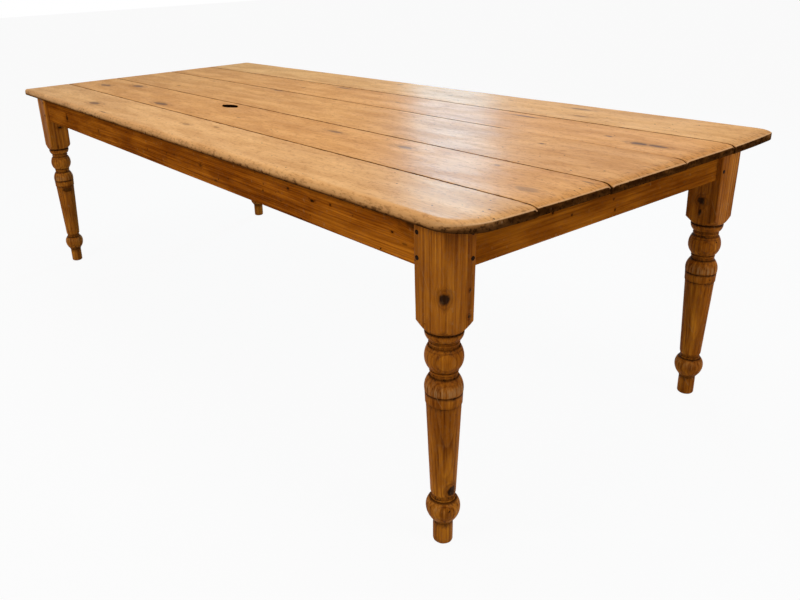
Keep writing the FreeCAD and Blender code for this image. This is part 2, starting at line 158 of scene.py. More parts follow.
class Graph:
    """Adds nodes to one tree. A Value given to an input is linked, anything else is set."""

    def __init__(self, tree):
        self.tree = tree

    def fill(self, node, values):
        for key, value in values.items():
            if isinstance(value, Value):
                self.tree.links.new(value.socket, node.inputs[key])
            else:
                node.inputs[key].default_value = value

    def outputs(self, node):
        return {socket.name: Value(self, socket) for socket in node.outputs}

    def add(self, kind, output=None, values=None, **settings):
        """Adds a shader node and returns the output asked for, or all of them by name."""
        node = self.tree.nodes.new(f"ShaderNode{kind}")
        for name, setting in settings.items():
            setattr(node, name, setting)
        self.fill(node, values or {})
        return self.outputs(node) if output is None else Value(self, node.outputs[output])

    def math(self, operation, first, second):
        known = first if isinstance(first, Value) else second
        kind = "Math" if known.socket.type == "VALUE" else "VectorMath"
        return self.add(kind, 0, {0: first, 1: second}, operation=operation)

    def xyz(self, x, y=0.0, z=0.0):
        return self.add("CombineXYZ", 0, {0: x, 1: y, 2: z})

    def noise(self, vector, detail=2.0, roughness=0.5, output="Fac"):
        values = {"Vector": vector, "Scale": 1.0, "Detail": detail, "Roughness": roughness}
        return self.add("TexNoise", output, values)

    def mix(self, factor, first, second, blend="MIX"):
        values = {0: factor, 6: first, 7: second}
        return self.add("Mix", 2, values, data_type="RGBA", blend_type=blend)

    def placed(self, tree, values):
        return self.add("Group", None, values, node_tree=tree)


def new_group(name, inputs, outputs):
    """An empty shader node group: its graph, its inputs by name and its output node."""
    tree = bpy.data.node_groups.new(name, "ShaderNodeTree")
    for socket, kind in inputs.items():
        tree.interface.new_socket(socket, in_out="INPUT", socket_type=f"NodeSocket{kind}")
    for socket in outputs:
        tree.interface.new_socket(socket, in_out="OUTPUT", socket_type="NodeSocketFloat")
    graph = Graph(tree)
    given = graph.outputs(tree.nodes.new("NodeGroupInput"))
    return graph, given, tree.nodes.new("NodeGroupOutput")


def new_material(name):
    """A material, its graph and its shader."""
    material = bpy.data.materials.new(name)
    material.use_nodes = True
    return material, Graph(material.node_tree), material.node_tree.nodes["Principled BSDF"]


print("node helper ready")

# %% [markdown]
# ## Pine grain
# A pine trunk is a stack of yearly cones round the pith: pale soft wood that darkens to a thin hard
# line each year. A board is a slice through it, so arches and straight lines are the same rings cut at
# different angles. An image wrapped on would break at every edge. Here the rings are solid: the distance
# from a pith line that wanders along the grain, cut into saw teeth of uneven width. Fibres, streaks and
# mottling are noise stretched along the grain, which always runs along the group's own X.

# %% Grain group
SLOW_GRAIN = (0.9, 3.0, 3.0)
RIPPLE_GRAIN = (5.0, 45.0, 45.0)
FIBRE_GRAIN = (12.0, 650.0, 650.0)
STREAK_GRAIN = (2.5, 150.0, 150.0)
MOTTLE_GRAIN = (3.0, 14.0, 14.0)
RIPPLE_DEPTH = 0.005
YEAR_VARIETY = 42.0
YEAR_DRIFT = 3.0
YEAR_STEP = (0.37, 1.0, 1.0)
ACROSS_GRAIN = (0.0, 1.0, 1.0)


def build_grain_group():
    inputs = {"Vector": "Vector", "Pith": "Vector", "Ring Width": "Float", "Wander": "Float",
              "Push": "Float", "Seed": "Float"}
    graph, given, result = new_group("pine_grain", inputs, ("Late", "Fibre", "Streak", "Mottle"))
    seed = given["Seed"]
    spot = graph.xyz(seed, seed)

    def stretched(scale, detail, output="Fac"):
        return graph.noise(given["Vector"] * scale + spot, detail, 0.55, output)

    drift = stretched(SLOW_GRAIN, 1.5, "Color") - (0.5, 0.5, 0.5)
    from_pith = given["Vector"] - given["Pith"] + drift.scaled(given["Wander"])
    ripple = (stretched(RIPPLE_GRAIN, 2.0) - 0.5) * RIPPLE_DEPTH
    reach = (from_pith * ACROSS_GRAIN).length() + ripple + given["Push"]
    weather = graph.noise(graph.xyz(reach * YEAR_VARIETY, seed), 1.0)
    years = reach / given["Ring Width"] + weather * YEAR_DRIFT
    year = years.math("FRACT")
    late = year.fade(0.25, 0.92) * year.fade(0.92, 1.0, 1.0, 0.0)
    strength = graph.noise(graph.xyz(years.math("FLOOR"), seed) * YEAR_STEP)
    graph.fill(result, {
        "Late": late * strength.fade(0.3, 0.7, 0.25, 1.0),
        "Fibre": stretched(FIBRE_GRAIN, 2.0),
        "Streak": stretched(STREAK_GRAIN, 3.0),
        "Mottle": stretched(MOTTLE_GRAIN, 3.0),
    })
    return graph.tree


grain_group = build_grain_group()
print("group:", grain_group.name, "nodes", len(grain_group.nodes))

# %% [markdown]
# ## Knots
# A knot is the root of a branch: a dark oval core with rings round it, and the grain flowing aside. It
# could be a modelled disc, but a planed knot is flush. So it is a mask round a place, with a ragged edge
# from noise, and a push that bends the yearly rings, which makes it look grown and not printed on.

# %% Knot group
RAGGED_EDGE = 0.9
RAGGED_SCALE = 1.1
PLACE_SPREAD = 53.0


def build_knot_group():
    inputs = {"Vector": "Vector", "Place": "Vector", "Radius": "Float", "Stretch": "Float",
              "Strength": "Float"}
    graph, given, result = new_group("pine_knot", inputs, ("Core", "Ring", "Halo", "Push"))
    strength = given["Strength"]
    away = (given["Vector"] - given["Place"]) * graph.xyz(1.0 / given["Stretch"], 1.0, 1.0)
    away = away.scaled(1.0 / given["Radius"])
    own = away.scaled(RAGGED_SCALE) + given["Place"].scaled(PLACE_SPREAD)
    even = away.length()
    reach = even + (graph.noise(own, 3.0) - 0.5) * RAGGED_EDGE
    around = even.fade(0.7, 3.0, 1.0, 0.0)
    graph.fill(result, {
        "Core": reach.fade(0.60, 1.10, 1.0, 0.0) * strength,
        "Ring": reach.fade(1.15, 1.40) * reach.fade(1.40, 1.75, 1.0, 0.0) * strength,
        "Halo": reach.fade(0.6, 2.4, 1.0, 0.0) * strength,
        "Push": around * around * given["Radius"],
    })
    return graph.tree


knot_group = build_knot_group()
print("group:", knot_group.name, "nodes", len(knot_group.nodes))

# %% [markdown]
# ## A century of use
# Old pine is full of worm holes, dents, scratches along and across the grain, and rubbed patches in
# its wax. Modelling thousands of pits would be heavy, and they are smaller than a millimetre, so cells
# of a Voronoi pattern pick random spots and stretched noise draws the scratches.

# %% Wear group
PIT_GRAIN = (55.0, 70.0, 70.0)
DENT_GRAIN = (9.0, 30.0, 30.0)
SCRATCH_GRAIN = (6.0, 160.0, 60.0)
SCRATCH_SLANT = radians(24)
RUB_GRAIN = (6.0, 22.0, 22.0)
SPECK_GRAIN = (70.0, 150.0, 150.0)


def build_wear_group():
    outputs = ("Pits", "Dents", "Scratches", "Rubbed", "Specks")
    graph, given, result = new_group("old_wear", {"Vector": "Vector", "Seed": "Float"}, outputs)
    moved = given["Vector"] + graph.xyz(given["Seed"], given["Seed"])

    def random_spots(scale, size, rarity):
        """Small spots in some cells, chosen by each cell's own random colour."""
        cells = graph.add("TexVoronoi", None, {"Vector": moved * scale, "Scale": 1.0})
        chance = graph.add("SeparateColor", None, {0: cells["Color"]})
        inside = (cells["Distance"] / (chance["Green"] * size)).fade(0.5, 1.0, 1.0, 0.0)
        return inside * chance["Red"].math("GREATER_THAN", rarity)

    slanted = {"Vector": moved, "Angle": SCRATCH_SLANT}
    turned = graph.add("VectorRotate", 0, slanted, rotation_type="Z_AXIS")
    graph.fill(result, {
        "Pits": random_spots(PIT_GRAIN, 0.20, 0.82),
        "Dents": random_spots(DENT_GRAIN, 0.22, 0.86),
        "Scratches": graph.noise(turned * SCRATCH_GRAIN, 1.0).fade(0.70, 0.78),
        "Rubbed": graph.noise(moved * RUB_GRAIN, 4.0, 0.6).fade(0.35, 0.65),
        "Specks": graph.noise(moved * SPECK_GRAIN, 4.0, 0.65).fade(0.48, 0.66),
    })
    return graph.tree


wear_group = build_wear_group()
print("group:", wear_group.name, "nodes", len(wear_group.nodes))

# %% [markdown]
# ## One recipe for every pine finish
# All the pine on the table is the same wood in the same wax, but the top is scrubbed pale and the
# frame kept its orange brown. So one function builds a pine material from a few words, such as its
# colours, pith, knots and gloss. The mesh brings two more things. One attribute is high in seams and
# grooves where dirt and old wax stay, and it also holds painted shade: under the overhanging top, in the
# corners at the legs, in the quirk under the legs' heads, on the lower parts of the boards' edges and
# toward the top's right end. The other is high on arrises where the wax is gone and the dry wood shows,
# and it also holds a painted highlight along the right end's arris and a painted sheen on the legs'
# ring.

# %% Pine recipe
ALONG_X = (0, 1, 2)
ALONG_Y = (1, 0, 2)
ALONG_Z = (2, 0, 1)
# dark brown and red stain for dirt and old wax; where the grime mask holds painted shade, they paint
# that shade too
DIRT_AND_SHADE_BROWN = (0.018, 0.005, 0.001, 1.0)
WAX_STAIN_AND_SHADE = (0.310, 0.088, 0.008, 1.0)
# black of the worm holes, and of the knot hole painted as shade
PIT_AND_HOLE_SHADE_BLACK = (0.008, 0.003, 0.001, 1.0)
COAT_ROUGHNESS = 0.33
DULLNESS = 0.75
RED_SHIFT = (0.85, 1.15, 1.45)
RELIEF_DEPTH = 0.0006
# how far each part of the grain and the wear stands proud, or sinks in
RELIEF = dict(Late=0.5, Fibre=0.6, Streak=0.3, Specks=0.5, Ridges=2.5, Pits=-2.0, Dents=-1.2)
DEFAULT_LOOK = dict(
    order=ALONG_X, ring_width=0.0045, wander=0.10, seed=0.0, knots=(), contrast=0.5, streaks=0.3,
    fibre=0.13, grit=0.07, mottling=0.14, patina=0.1, depthless=False, roughness=(0.42, 0.62), coat=0.0,
    specular=0.03, relief=0.4, knot_tone=(0.007, 0.0025, 0.001), bare_and_highlight_tone=(0.42, 0.22, 0.085),
    weathered=False, flecks=0.0, scratches=0.16, hole=None,
)


def grain_vector(graph, order):
    """Object coordinates with the grain's direction first."""
    place = graph.add("TexCoord", "Object")
    parts = graph.add("SeparateXYZ", None, {0: place})
    return graph.xyz(*(parts["XYZ"[axis]] for axis in order))


def reordered(point, order):
    return tuple(point[axis] for axis in order)


def tinted(colour, tint):
    return tuple(channel * share for channel, share in zip(colour, tint))


def swing(amount):
    return 1.0 - amount, 1.0 + amount


def add_knots(graph, vector, look):
    """Places the knots. Returns their core, ring and halo masks and their push on the yearly rings."""
    masks = {"Core": 0.0, "Ring": 0.0, "Halo": 0.0}
    push = 0.0
    if look["depthless"]:
        vector = vector * (1.0, 1.0, 0.0)
    for *place, radius, stretch, strength in look["knots"]:
        seat = reordered(place, look["order"])
        if look["depthless"]:
            seat = (seat[0], seat[1], 0.0)
        knot = graph.placed(knot_group, {"Vector": vector, "Place": seat, "Radius": radius,
                                         "Stretch": stretch, "Strength": strength})
        masks = {name: knot[name].most(mask) for name, mask in masks.items()}
        push = knot["Push"] + push
    return masks, push


def ridges(grain):
    """The hard lines that stand proud where the wood is bare and dry."""
    return grain["Streak"].fade(0.40, 0.56, 1.0, 0.0)


def pine_colour(graph, look, grain, wear, knots, grime_and_shade, bare_and_highlight):
    """The colour of the wood, from its grain up to the dirt, the painted shade and the painted
    highlights on it.
    """
    tones = ("early", "late", "knot_tone", "bare_and_highlight_tone")
    early, late, heart, dry_and_highlight_tone = ((*look[tone], 1.0) for tone in tones)
    streak = grain["Streak"]
    line = grain["Late"] * look["contrast"] + streak.fade(0.45, 0.72, 0.0, look["streaks"])
    tone = grain["Fibre"].fade(0.3, 0.7, *swing(look["fibre"]))
    tone = tone * grain["Mottle"].fade(0.25, 0.75, *swing(look["mottling"]))
    tone = tone * wear["Rubbed"].fade(0.0, 1.0, *swing(look["patina"]))
    tone = tone * streak.fade(0.28, 0.48, 1.0 + look["streaks"] * 0.6, 1.0)
    tone = tone * wear["Specks"].fade(0.0, 1.0, 1.0 + look["grit"] * 0.3, 1.0 - look["grit"])
    channels = {slot: tone**power for slot, power in enumerate(RED_SHIFT)}
    tone = graph.add("CombineColor", 0, channels)
    colour = graph.mix(1.0, graph.mix(line, early, late), tone, "MULTIPLY")
    layers = [(wear["Dents"] * 0.5, DIRT_AND_SHADE_BROWN)]
    if look["knots"]:
        heartwood = streak.fade(0.3, 0.7, 0.97, 0.85)
        layers += [(knots["Halo"] * 0.45, late), (knots["Ring"] * 0.22, heart),
                   (knots["Core"] * heartwood, heart)]
    # the bare mask paints dry wood, and also a painted highlight on the right end's arris and a painted
    # sheen on the legs' ring
    if look["weathered"]:
        layers += [(bare_and_highlight * ridges(grain), dry_and_highlight_tone), (bare_and_highlight * streak.fade(0.50, 0.64, 0.0, 0.8), DIRT_AND_SHADE_BROWN)]
    else:
        layers += [(bare_and_highlight, dry_and_highlight_tone)]
    layers += [
        (wear["Specks"] * look["flecks"], dry_and_highlight_tone),
        # the grime mask paints dirt and old wax, and also painted shade under the top, in corners and on
        # lower edges
        (grime_and_shade * 0.8, WAX_STAIN_AND_SHADE),
        (grime_and_shade * (grime_and_shade + (1.0 - grime_and_shade) * wear["Specks"] * 2.0), DIRT_AND_SHADE_BROWN),
        (wear["Scratches"] * look["scratches"], dry_and_highlight_tone),
        (wear["Pits"] * 0.9, PIT_AND_HOLE_SHADE_BLACK),
    ]
    for share, paint in layers:
        colour = graph.mix(share, colour, paint)
    return colour


def pine_height(grain, wear, bare_and_highlight):
    """Hard rings and fibres stand proud, and pits and dents sink in."""
    parts = grain | wear | {"Ridges": bare_and_highlight * ridges(grain)}
    height = 0.0
    for name, weight in RELIEF.items():
        height = parts[name] * weight + height
    return height


def hole_shade_mask(vector, place, half_length, half_width):
    """One inside a lens shape on the board, where the knot hole and a little past it are painted black
    as shade.
    """
    away = (vector - place) / (half_length, half_width, 1.0)
    parts = away.graph.add("SeparateXYZ", None, {0: away})
    lens_shape = parts["X"] * parts["X"] + parts["Y"].math("ABSOLUTE")
    return lens_shape.fade(1.0, 1.15, 1.0, 0.0)


def pine_material(name, **choices):
    """A pine finish. Places of the pith and the knots are on the table, in metres."""
    look = DEFAULT_LOOK | choices
    material, graph, shader = new_material(name)
    vector = grain_vector(graph, look["order"])
    knots, push = add_knots(graph, vector, look)
    grain = graph.placed(grain_group, {
        "Vector": vector, "Pith": reordered(look["pith"], look["order"]), "Push": push,
        "Ring Width": look["ring_width"], "Wander": look["wander"], "Seed": look["seed"]})
    wear = graph.placed(wear_group, {"Vector": vector, "Seed": look["seed"]})
    grime_and_shade = graph.add("Attribute", "Fac", attribute_name="grime_and_shade")
    bare_and_highlight = graph.add("Attribute", "Fac", attribute_name="bare_and_highlight")
    colour = pine_colour(graph, look, grain, wear, knots, grime_and_shade, bare_and_highlight)
    dull = grime_and_shade.most(bare_and_highlight) * DULLNESS
    # the knot hole is painted black as shade, and loses its gloss
    if look["hole"]:
        hole_shade = hole_shade_mask(vector, *look["hole"])
        colour = graph.mix(hole_shade, colour, PIT_AND_HOLE_SHADE_BLACK)
        dull = dull.most(hole_shade)
    smooth, rough = look["roughness"]
    gloss = wear["Rubbed"] * 0.6 + grain["Fibre"] * 0.4
    relief = {"Height": pine_height(grain, wear, bare_and_highlight), "Strength": look["relief"],
              "Distance": RELIEF_DEPTH}
    graph.fill(shader, {
        "Base Color": colour,
        "Roughness": gloss.fade(0.1, 0.9, rough, smooth).most(dull),
        "Specular IOR Level": look["specular"],
        "Normal": graph.add("Bump", 0, relief),
    })
    if look["coat"]:
        wax = gloss.fade(0.15, 0.85, look["coat"] * 0.85, look["coat"] * 1.15)
        graph.fill(shader, {"Coat Weight": wax * dull.fade(0.0, 0.5, 1.0, 0.0),
                            "Coat Roughness": COAT_ROUGHNESS})
    return material


print("pine recipe ready")

# %% [markdown]
# ## The five boards
# The top's boards are loose and were planed, used and scrubbed for a long time. Their outer rim is
# rubbed into a soft roll, the right end bows out and droops a little, and the seams are worn. A bevel
# would give the same round everywhere. So each board is a row of closed sections along X, and plain
# formulas say how much wood is gone at each point: by the distance from the rim, from a seam and from
# the right end, with slow noise so that no two stretches match.

# %% Board wear
BOARDS = ("front_board", "second_board", "middle_board", "fourth_board", "back_board")
CORNER_RADII = {"front_right": 0.076, "back_right": 0.030, "back_left": 0.018, "front_left": 0.008}
# each pair is how far in a round starts and how deep it goes
LONG_RIM = (0.015, 0.0115)
LEFT_END_RIM = (0.008, 0.005)
SEAM_ARRIS = (0.0026, 0.0020)
END_ROLL = (0.065, 0.0022)
UNDER_RIM = 0.0030
RIGHT_END_SLOPE = 0.022
RIGHT_END_DROP = (0.0042, 0.0025)
RIGHT_END_BOW = (0.0165, 0.25)
RIGHT_END_INSETS = dict(zip(BOARDS, (0.0, 0.0035, 0.0, 0.003, 0.001)))
UNEVEN_TOP = 0.0004
# the two boards, where the seam between them closes and opens again, and over what length
TIGHT_SEAM = ("middle_board", "fourth_board", 0.74, 1.275, 0.07)
TIGHT_SHIFT = 0.00085
TIGHT_WORN = 0.85
RIM_UNEVEN = 0.28
SEAM_RAGGED = 0.7
CHIPS = (
    # place, radius, depth
    (Vector((1.2960, -0.1450)), 0.006, 0.004),
    (Vector((1.2960, 0.1290)), 0.006, 0.004),
    (Vector((1.2950, 0.3340)), 0.004, 0.004),
    (Vector((1.2970, -0.3690)), 0.003, 0.004),
    (Vector((0.9510, -0.5560)), 0.006, 0.005),
)
SEAM_DIRT_REACH = 0.0030
RIM_DIRT_REACH = 0.011
# the right end's arris is pale over this reach, partly worn bare and partly a painted highlight
ARRIS_BARE_AND_HIGHLIGHT_REACH = 0.0045
# the top is darkened as painted shade over this reach toward its right end
END_SHADE_REACH = 0.040
CLEAN_CORNER_REACH = 0.05


def round_off(gap, reach, drop):
    """How much an elliptical round takes away at a gap from the edge."""
    if gap >= reach:
        return 0.0
    return drop * (1 - sqrt(max(0.0, 1 - (1 - gap / reach) ** 2)))


def count_points(kind, pieces):
    print(kind, {name: len(piece.data.vertices) for name, piece in pieces.items()}, "points")


def slow_noise(x, y, seed):
    return noise.noise(Vector((x, y, seed)))


class Board:
    """One board of the top: its outline, how worn and how dirty it is at any point, and where shade and
    highlight are painted on it.
    """

    def __init__(self, name):
        self.name = name
        self.low, self.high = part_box(name)
        self.end = self.high.x - RIGHT_END_INSETS[name]
        self.seed = 3.7 * BOARDS.index(name)
        joined = {self.low.y: name != BOARDS[0], self.high.y: name != BOARDS[-1]}
        self.seams = [edge for edge in joined if joined[edge]]

    def closed(self, x, y):
        """How far the seam near y is closed at x, from 0 for open to 1 for tight."""
        first, second, start, end, blend = TIGHT_SEAM
        edges = {first: self.high.y, second: self.low.y}
        if self.name not in edges or abs(y - edges[self.name]) > 0.02:
            return 0.0
        return max(0.0, min(1.0, (x - start) / blend, (end - x) / (blend / 8)))

    def worn(self, x, seam):
        """How much of a seam's wear is left where it is closed."""
        return 1 - TIGHT_WORN * self.closed(x, seam)

    def along(self, x):
        return min(self.end - x, x - self.low.x)

    def sides(self, x):
        """The front and back edges of the board at x."""
        front = self.low.y - TIGHT_SHIFT * self.closed(x, self.low.y)
        back = self.high.y + TIGHT_SHIFT * self.closed(x, self.high.y)
        if self.name == BOARDS[0]:
            radius = self.corner(x, front)
            front += round_off(self.along(x), radius, radius)
        if self.name == BOARDS[-1]:
            radius = self.corner(x, back)
            back -= round_off(self.along(x), radius, radius)
        return front, back

    def corner(self, x, y):
        """The radius of the top's corner nearest to a point."""
        return CORNER_RADII[("front" if y < 0 else "back") + ("_right" if x > 0 else "_left")]

    def rim(self, x, y):
        """The distance inside the top's outline, and how far the nearest edge is an end."""
        across = min(y - cad_low.y, cad_high.y - y)
        along = self.along(x)
        radius = self.corner(x, y)
        if across < radius and along < radius:
            end_share = (radius - along) ** 2 / ((radius - along) ** 2 + (radius - across) ** 2)
            return radius - hypot(radius - across, radius - along), end_share
        return min(across, along), float(along < across)

    def bowed(self, x, y):
        """The place along the top after the right end's slight bow is added."""
        furthest, length = RIGHT_END_BOW
        share = max(0.0, 1 - (self.end - x) / length)
        return x + furthest * (1 - (y / cad_high.y) ** 4) * share**2

    def drop(self, x, y):
        """How much lower the worn top face is than the CAD one."""
        gap, end_share = self.rim(x, y)
        uneven = 1 + RIM_UNEVEN * slow_noise(x * 7, y * 7, self.seed)
        side = round_off(gap, LONG_RIM[0] * uneven, LONG_RIM[1])
        if x > 0:
            deepest, least = RIGHT_END_DROP
            deep = least + (deepest - least) * (1 - (y / cad_high.y) ** 2)
            end = deep * max(0.0, 1 - gap / (RIGHT_END_SLOPE * uneven)) ** 2
        else:
            end = round_off(gap, LEFT_END_RIM[0] * uneven, LEFT_END_RIM[1])
        gone = side + (end - side) * end_share
        for seam in self.seams:
            ragged = (1 + SEAM_RAGGED * slow_noise(x * 35, seam, self.seed)) * self.worn(x, seam)
            gap = max(0.0, y - seam if seam == self.low.y else seam - y)
            gone = max(gone, round_off(gap, SEAM_ARRIS[0] * ragged, SEAM_ARRIS[1] * ragged))
        gone += END_ROLL[1] * max(0.0, 1 - (self.end - x) / END_ROLL[0]) ** 2
        for place, radius, depth in CHIPS:
            gone += depth * exp(-((Vector((x, y)) - place).length / radius) ** 2)
        return gone + UNEVEN_TOP * (1 + slow_noise(x * 1.7, y * 9, self.seed))

    def top_wear(self, x, y):
        """Grime and bareness on the top face. Toward the right end the top is darkened as painted shade,
        and its arris is pale, partly worn bare and partly a painted highlight.
        """
        seam = max((1 - abs(y - at) / SEAM_DIRT_REACH) * self.worn(x, at) for at in self.seams)
        gap, end_share = self.rim(x, y)
        stretch = max(0.0, 0.13 + 0.20 * slow_noise(x * 11, y * 11, self.seed))
        rim = (1 - gap / RIM_DIRT_REACH) * stretch * (1 - end_share)
        # a pale arris, partly worn bare and partly a painted highlight
        arris_bare_and_highlight = (1 - gap / ARRIS_BARE_AND_HIGHLIGHT_REACH) * end_share * (0.6 if x > 0 else 0.2)
        # painted shade toward the right end
        end_shade_strength = 0.22 if x > 0 and gap > 0.003 else 0.0
        end_shade = (1 - gap / END_SHADE_REACH) * end_share * end_shade_strength
        return max(0.0, min(0.92, seam), min(0.6, rim), end_shade), max(0.0, arris_bare_and_highlight)

    def wall_wear(self, x, y, share):
        """Grime and bareness on a long edge, where share goes from 0 at the top to 1 below. The edge
        darkens toward the bottom and round the corners as painted shade; the seam walls are dark joints.
        """
        if any(abs(y - seam) < 0.001 for seam in self.seams):
            return 0.95 - 0.75 * self.closed(x, y), 0.0
        stretch = 0.22 * slow_noise(x * 11, y * 11, self.seed)
        turned = max(0.0, 1 - self.along(x) / self.corner(x, y))
        # darker toward the bottom and round the corner: painted shade
        return min(0.9, 0.12 + 0.74 * share + stretch + 0.36 * turned), 0.0

    def end_wear(self, y, share, right_end):
        """Grime on the end grain, which soaks up oil and dirt."""
        blotch = slow_noise(y * 45, share * 2, self.seed + 5)
        base = 0.93 if right_end else 0.75
        from_corner = cad_high.y - self.corner(1 if right_end else -1, y) - abs(y)
        base -= 0.30 * (1 - share) * max(0.0, 1 - from_corner / CLEAN_CORNER_REACH)
        return min(0.97, base + 0.12 * blotch + 0.06 * share), 0.0


worn_boards = {name: Board(name) for name in BOARDS}
middle = worn_boards["middle_board"]
print("worn at the right end by", round(middle.drop(middle.end, 0.0) * 1000, 1), "mm")

# %% [markdown]
# A section is a loop: over the top face, down the back edge, back under the board and up the front edge.
# Stations and columns crowd together near edges, where the shape changes fast.

# %% Board meshes
WALL_SHARES = (0.10, 0.40, 0.72)
DEEPEST_WEAR = 0.75
UNDER_RIM_REACH = 0.012
# the underside's rim is darkened as painted shade, and the rest of the underside is dirty
UNDER_RIM_SHADE = 0.92
UNDERSIDE_DIRT = 0.40
# the finest and the widest gap between neighbouring points, and how fast gaps grow
STATION_GAPS = (0.0006, 0.012, 1.25)
COLUMN_GAPS = (0.0007, 0.009, 1.25)
# the corners of a quad in the order that turns its face outwards
LEG_QUAD = (0, 1, 2, 3)
BOARD_QUAD = (0, 3, 2, 1)
APRON_QUADS = ((3, 2, 1, 0), (0, 1, 2, 3))


def graded(low, high, fine, coarse, growth):
    """Places from low to high, close together at both ends."""
    steps = [0.0]
    step = fine
    while steps[-1] + step < (high - low) / 2:
        steps.append(steps[-1] + step)
        step = min(step * growth, coarse)
    return [low + gap for gap in steps] + [high - gap for gap in reversed(steps)]


def bridged(rows, count, order):
    """Quads between neighbouring rows of count points, where each row is a closed loop."""
    faces = []
    for here in range(0, (rows - 1) * count, count):
        for step in range(count):
            after = (step + 1) % count
            quad = (here + step, here + after, here + count + after, here + count + step)
            faces.append(reordered(quad, order))
    return faces


def swept(rows, order):
    """The points, wear and faces of a row of closed loops, each with pairs of a point and its wear."""
    verts, wear = zip(*(pair for row in rows for pair in row))
    return list(verts), list(wear), bridged(len(rows), len(rows[0]), order)


def finish_mesh(name, verts, faces, wear, sharp_angle=radians(42)):
    """Makes a smooth mesh object with its sharp edges and its wear: pairs of grime with painted shade,
    and bare wood with painted highlight and sheen.
    """
    mesh = bpy.data.meshes.new(name)
    mesh.from_pydata(verts, [], faces)
    mesh.polygons.foreach_set("use_smooth", [True] * len(mesh.polygons))
    mesh.set_sharp_from_angle(angle=sharp_angle)
    for slot, attribute in enumerate(("grime_and_shade", "bare_and_highlight")):
        values = [pair[slot] for pair in wear]
        mesh.attributes.new(attribute, "FLOAT", "POINT").data.foreach_set("value", values)
    return new_object(name, mesh)


def board_section(board, x, columns):
    """The loop round the board at x, as pairs of a point and its wear."""
    front, back = board.sides(x)
    limit = (board.high.z - board.low.z) * DEEPEST_WEAR
    top = []
    under = []
    for column in columns:
        y = front + (back - front) * column
        at = board.bowed(x, y)
        gap = board.rim(x, y)[0]
        # painted shade on the rim underneath, dirt on the rest of the underside
        dirt_and_shade = UNDER_RIM_SHADE if gap < UNDER_RIM_REACH else UNDERSIDE_DIRT
        top.append(((at, y, board.high.z - min(board.drop(x, y), limit)), board.top_wear(x, y)))
        under.append(((at, y, board.low.z + round_off(gap, UNDER_RIM, UNDER_RIM)), (dirt_and_shade, 0.0)))

    def wall(column, shares):
        (at, y, high), low = top[column][0], under[column][0][2]
        return [((at, y, high + (low - high) * share), board.wall_wear(x, y, share)) for share in shares]

    return top + wall(-1, WALL_SHARES) + under[::-1] + wall(0, WALL_SHARES[::-1])


def cap_end(board, verts, wear, faces, first, count, right_end):
    """Closes one end of a board with rows of end grain between its top and bottom edges."""
    walls = len(WALL_SHARES)
    last_below = first + 2 * count + walls - 1
    rows = [[first + column for column in range(count)]]
    for number, share in enumerate(WALL_SHARES):
        row = [last_below + walls - number]
        for column in range(1, count - 1):
            above = Vector(verts[first + column])
            below = Vector(verts[last_below - column])
            row.append(len(verts))
            verts.append(tuple(above.lerp(below, share)))
            wear.append(board.end_wear(above.y, share, right_end))
        rows.append(row + [first + count + number])
    rows.append([last_below - column for column in range(count)])
    for upper, lower in zip(rows, rows[1:]):
        for column in range(count - 1):
            quad = (upper[column], lower[column], lower[column + 1], upper[column + 1])
            faces.append(quad if right_end else tuple(reversed(quad)))


def board_mesh(board):
    stations = graded(board.low.x, board.end, *STATION_GAPS)
    width = board.high.y - board.low.y
    fine, coarse, growth = COLUMN_GAPS
    columns = graded(0.0, 1.0, fine / width, coarse / width, growth)
    rows = [board_section(board, x, columns) for x in stations]
    verts, wear, faces = swept(rows, BOARD_QUAD)
    last = len(verts) - len(rows[0])
    cap_end(board, verts, wear, faces, 0, len(columns), False)
    cap_end(board, verts, wear, faces, last, len(columns), True)
    return finish_mesh(f"{board.name}_worn", verts, faces, wear)


board_pieces = {name: board_mesh(board) for name, board in worn_boards.items()}
count_points("boards:", board_pieces)

# %% [markdown]
# ## The lost knot
# The second board has a hole where a knot fell out. Moving grid points down would leave stretched walls,
# so an oval cutter takes the hole out with a Boolean, which is applied at once.

# %% Knot hole
KNOT_HOLE_PLACE = Vector((-0.1615, -0.1865, cad_high.z))
KNOT_HOLE_HALF = (0.032, 0.020)
# half sizes of the black lens painted as shade over the knot hole and a little past its ends
KNOT_HOLE_SHADE_HALF = (0.046, 0.0215)
KNOT_HOLE_SIDES = 48
KNOT_HOLE_ROUGH = 0.07
CUTTER_REACH = 0.05


def cut_knot_hole(piece):
    verts = []
    for level in (-CUTTER_REACH, CUTTER_REACH):
        for step in range(KNOT_HOLE_SIDES):
            angle = 2 * pi * step / KNOT_HOLE_SIDES
            way = Vector((cos(angle), sin(angle), 0.3))
            rough = 1 + KNOT_HOLE_ROUGH * noise.noise(way * 2)
            x = KNOT_HOLE_PLACE.x + KNOT_HOLE_HALF[0] * rough * cos(angle)
            y = KNOT_HOLE_PLACE.y + KNOT_HOLE_HALF[1] * rough * sin(angle)
            verts.append((x, y, KNOT_HOLE_PLACE.z + level))
    faces = [tuple(reversed(range(KNOT_HOLE_SIDES))), tuple(range(KNOT_HOLE_SIDES, len(verts)))]
    faces += bridged(2, KNOT_HOLE_SIDES, LEG_QUAD)
    cutter = finish_mesh("knot_cutter", verts, faces, [(0.9, 0.0)] * len(verts))
    carve = piece.modifiers.new("knot_hole", "BOOLEAN")
    carve.object = cutter
    carve.solver = "EXACT"
    bpy.context.view_layer.update()
    shown = piece.evaluated_get(bpy.context.evaluated_depsgraph_get())
    carved = bpy.data.meshes.new_from_object(shown)
    piece.modifiers.clear()
    piece.data = carved
    bpy.data.objects.remove(cutter)


cut_knot_hole(board_pieces["second_board"])
print("second_board with its hole:", len(board_pieces["second_board"].data.vertices), "points")

# %% [markdown]
# ## The top's finish
# Each board is from another plank, so each gets its own pith, seed and tint. The knots and scars are at
# the places where the photograph shows them. Flat-sawn boards have their pith under them, which gives
# arches in the middle and lines at the sides. The wax is a thin clear coat, which draws the long sheen.

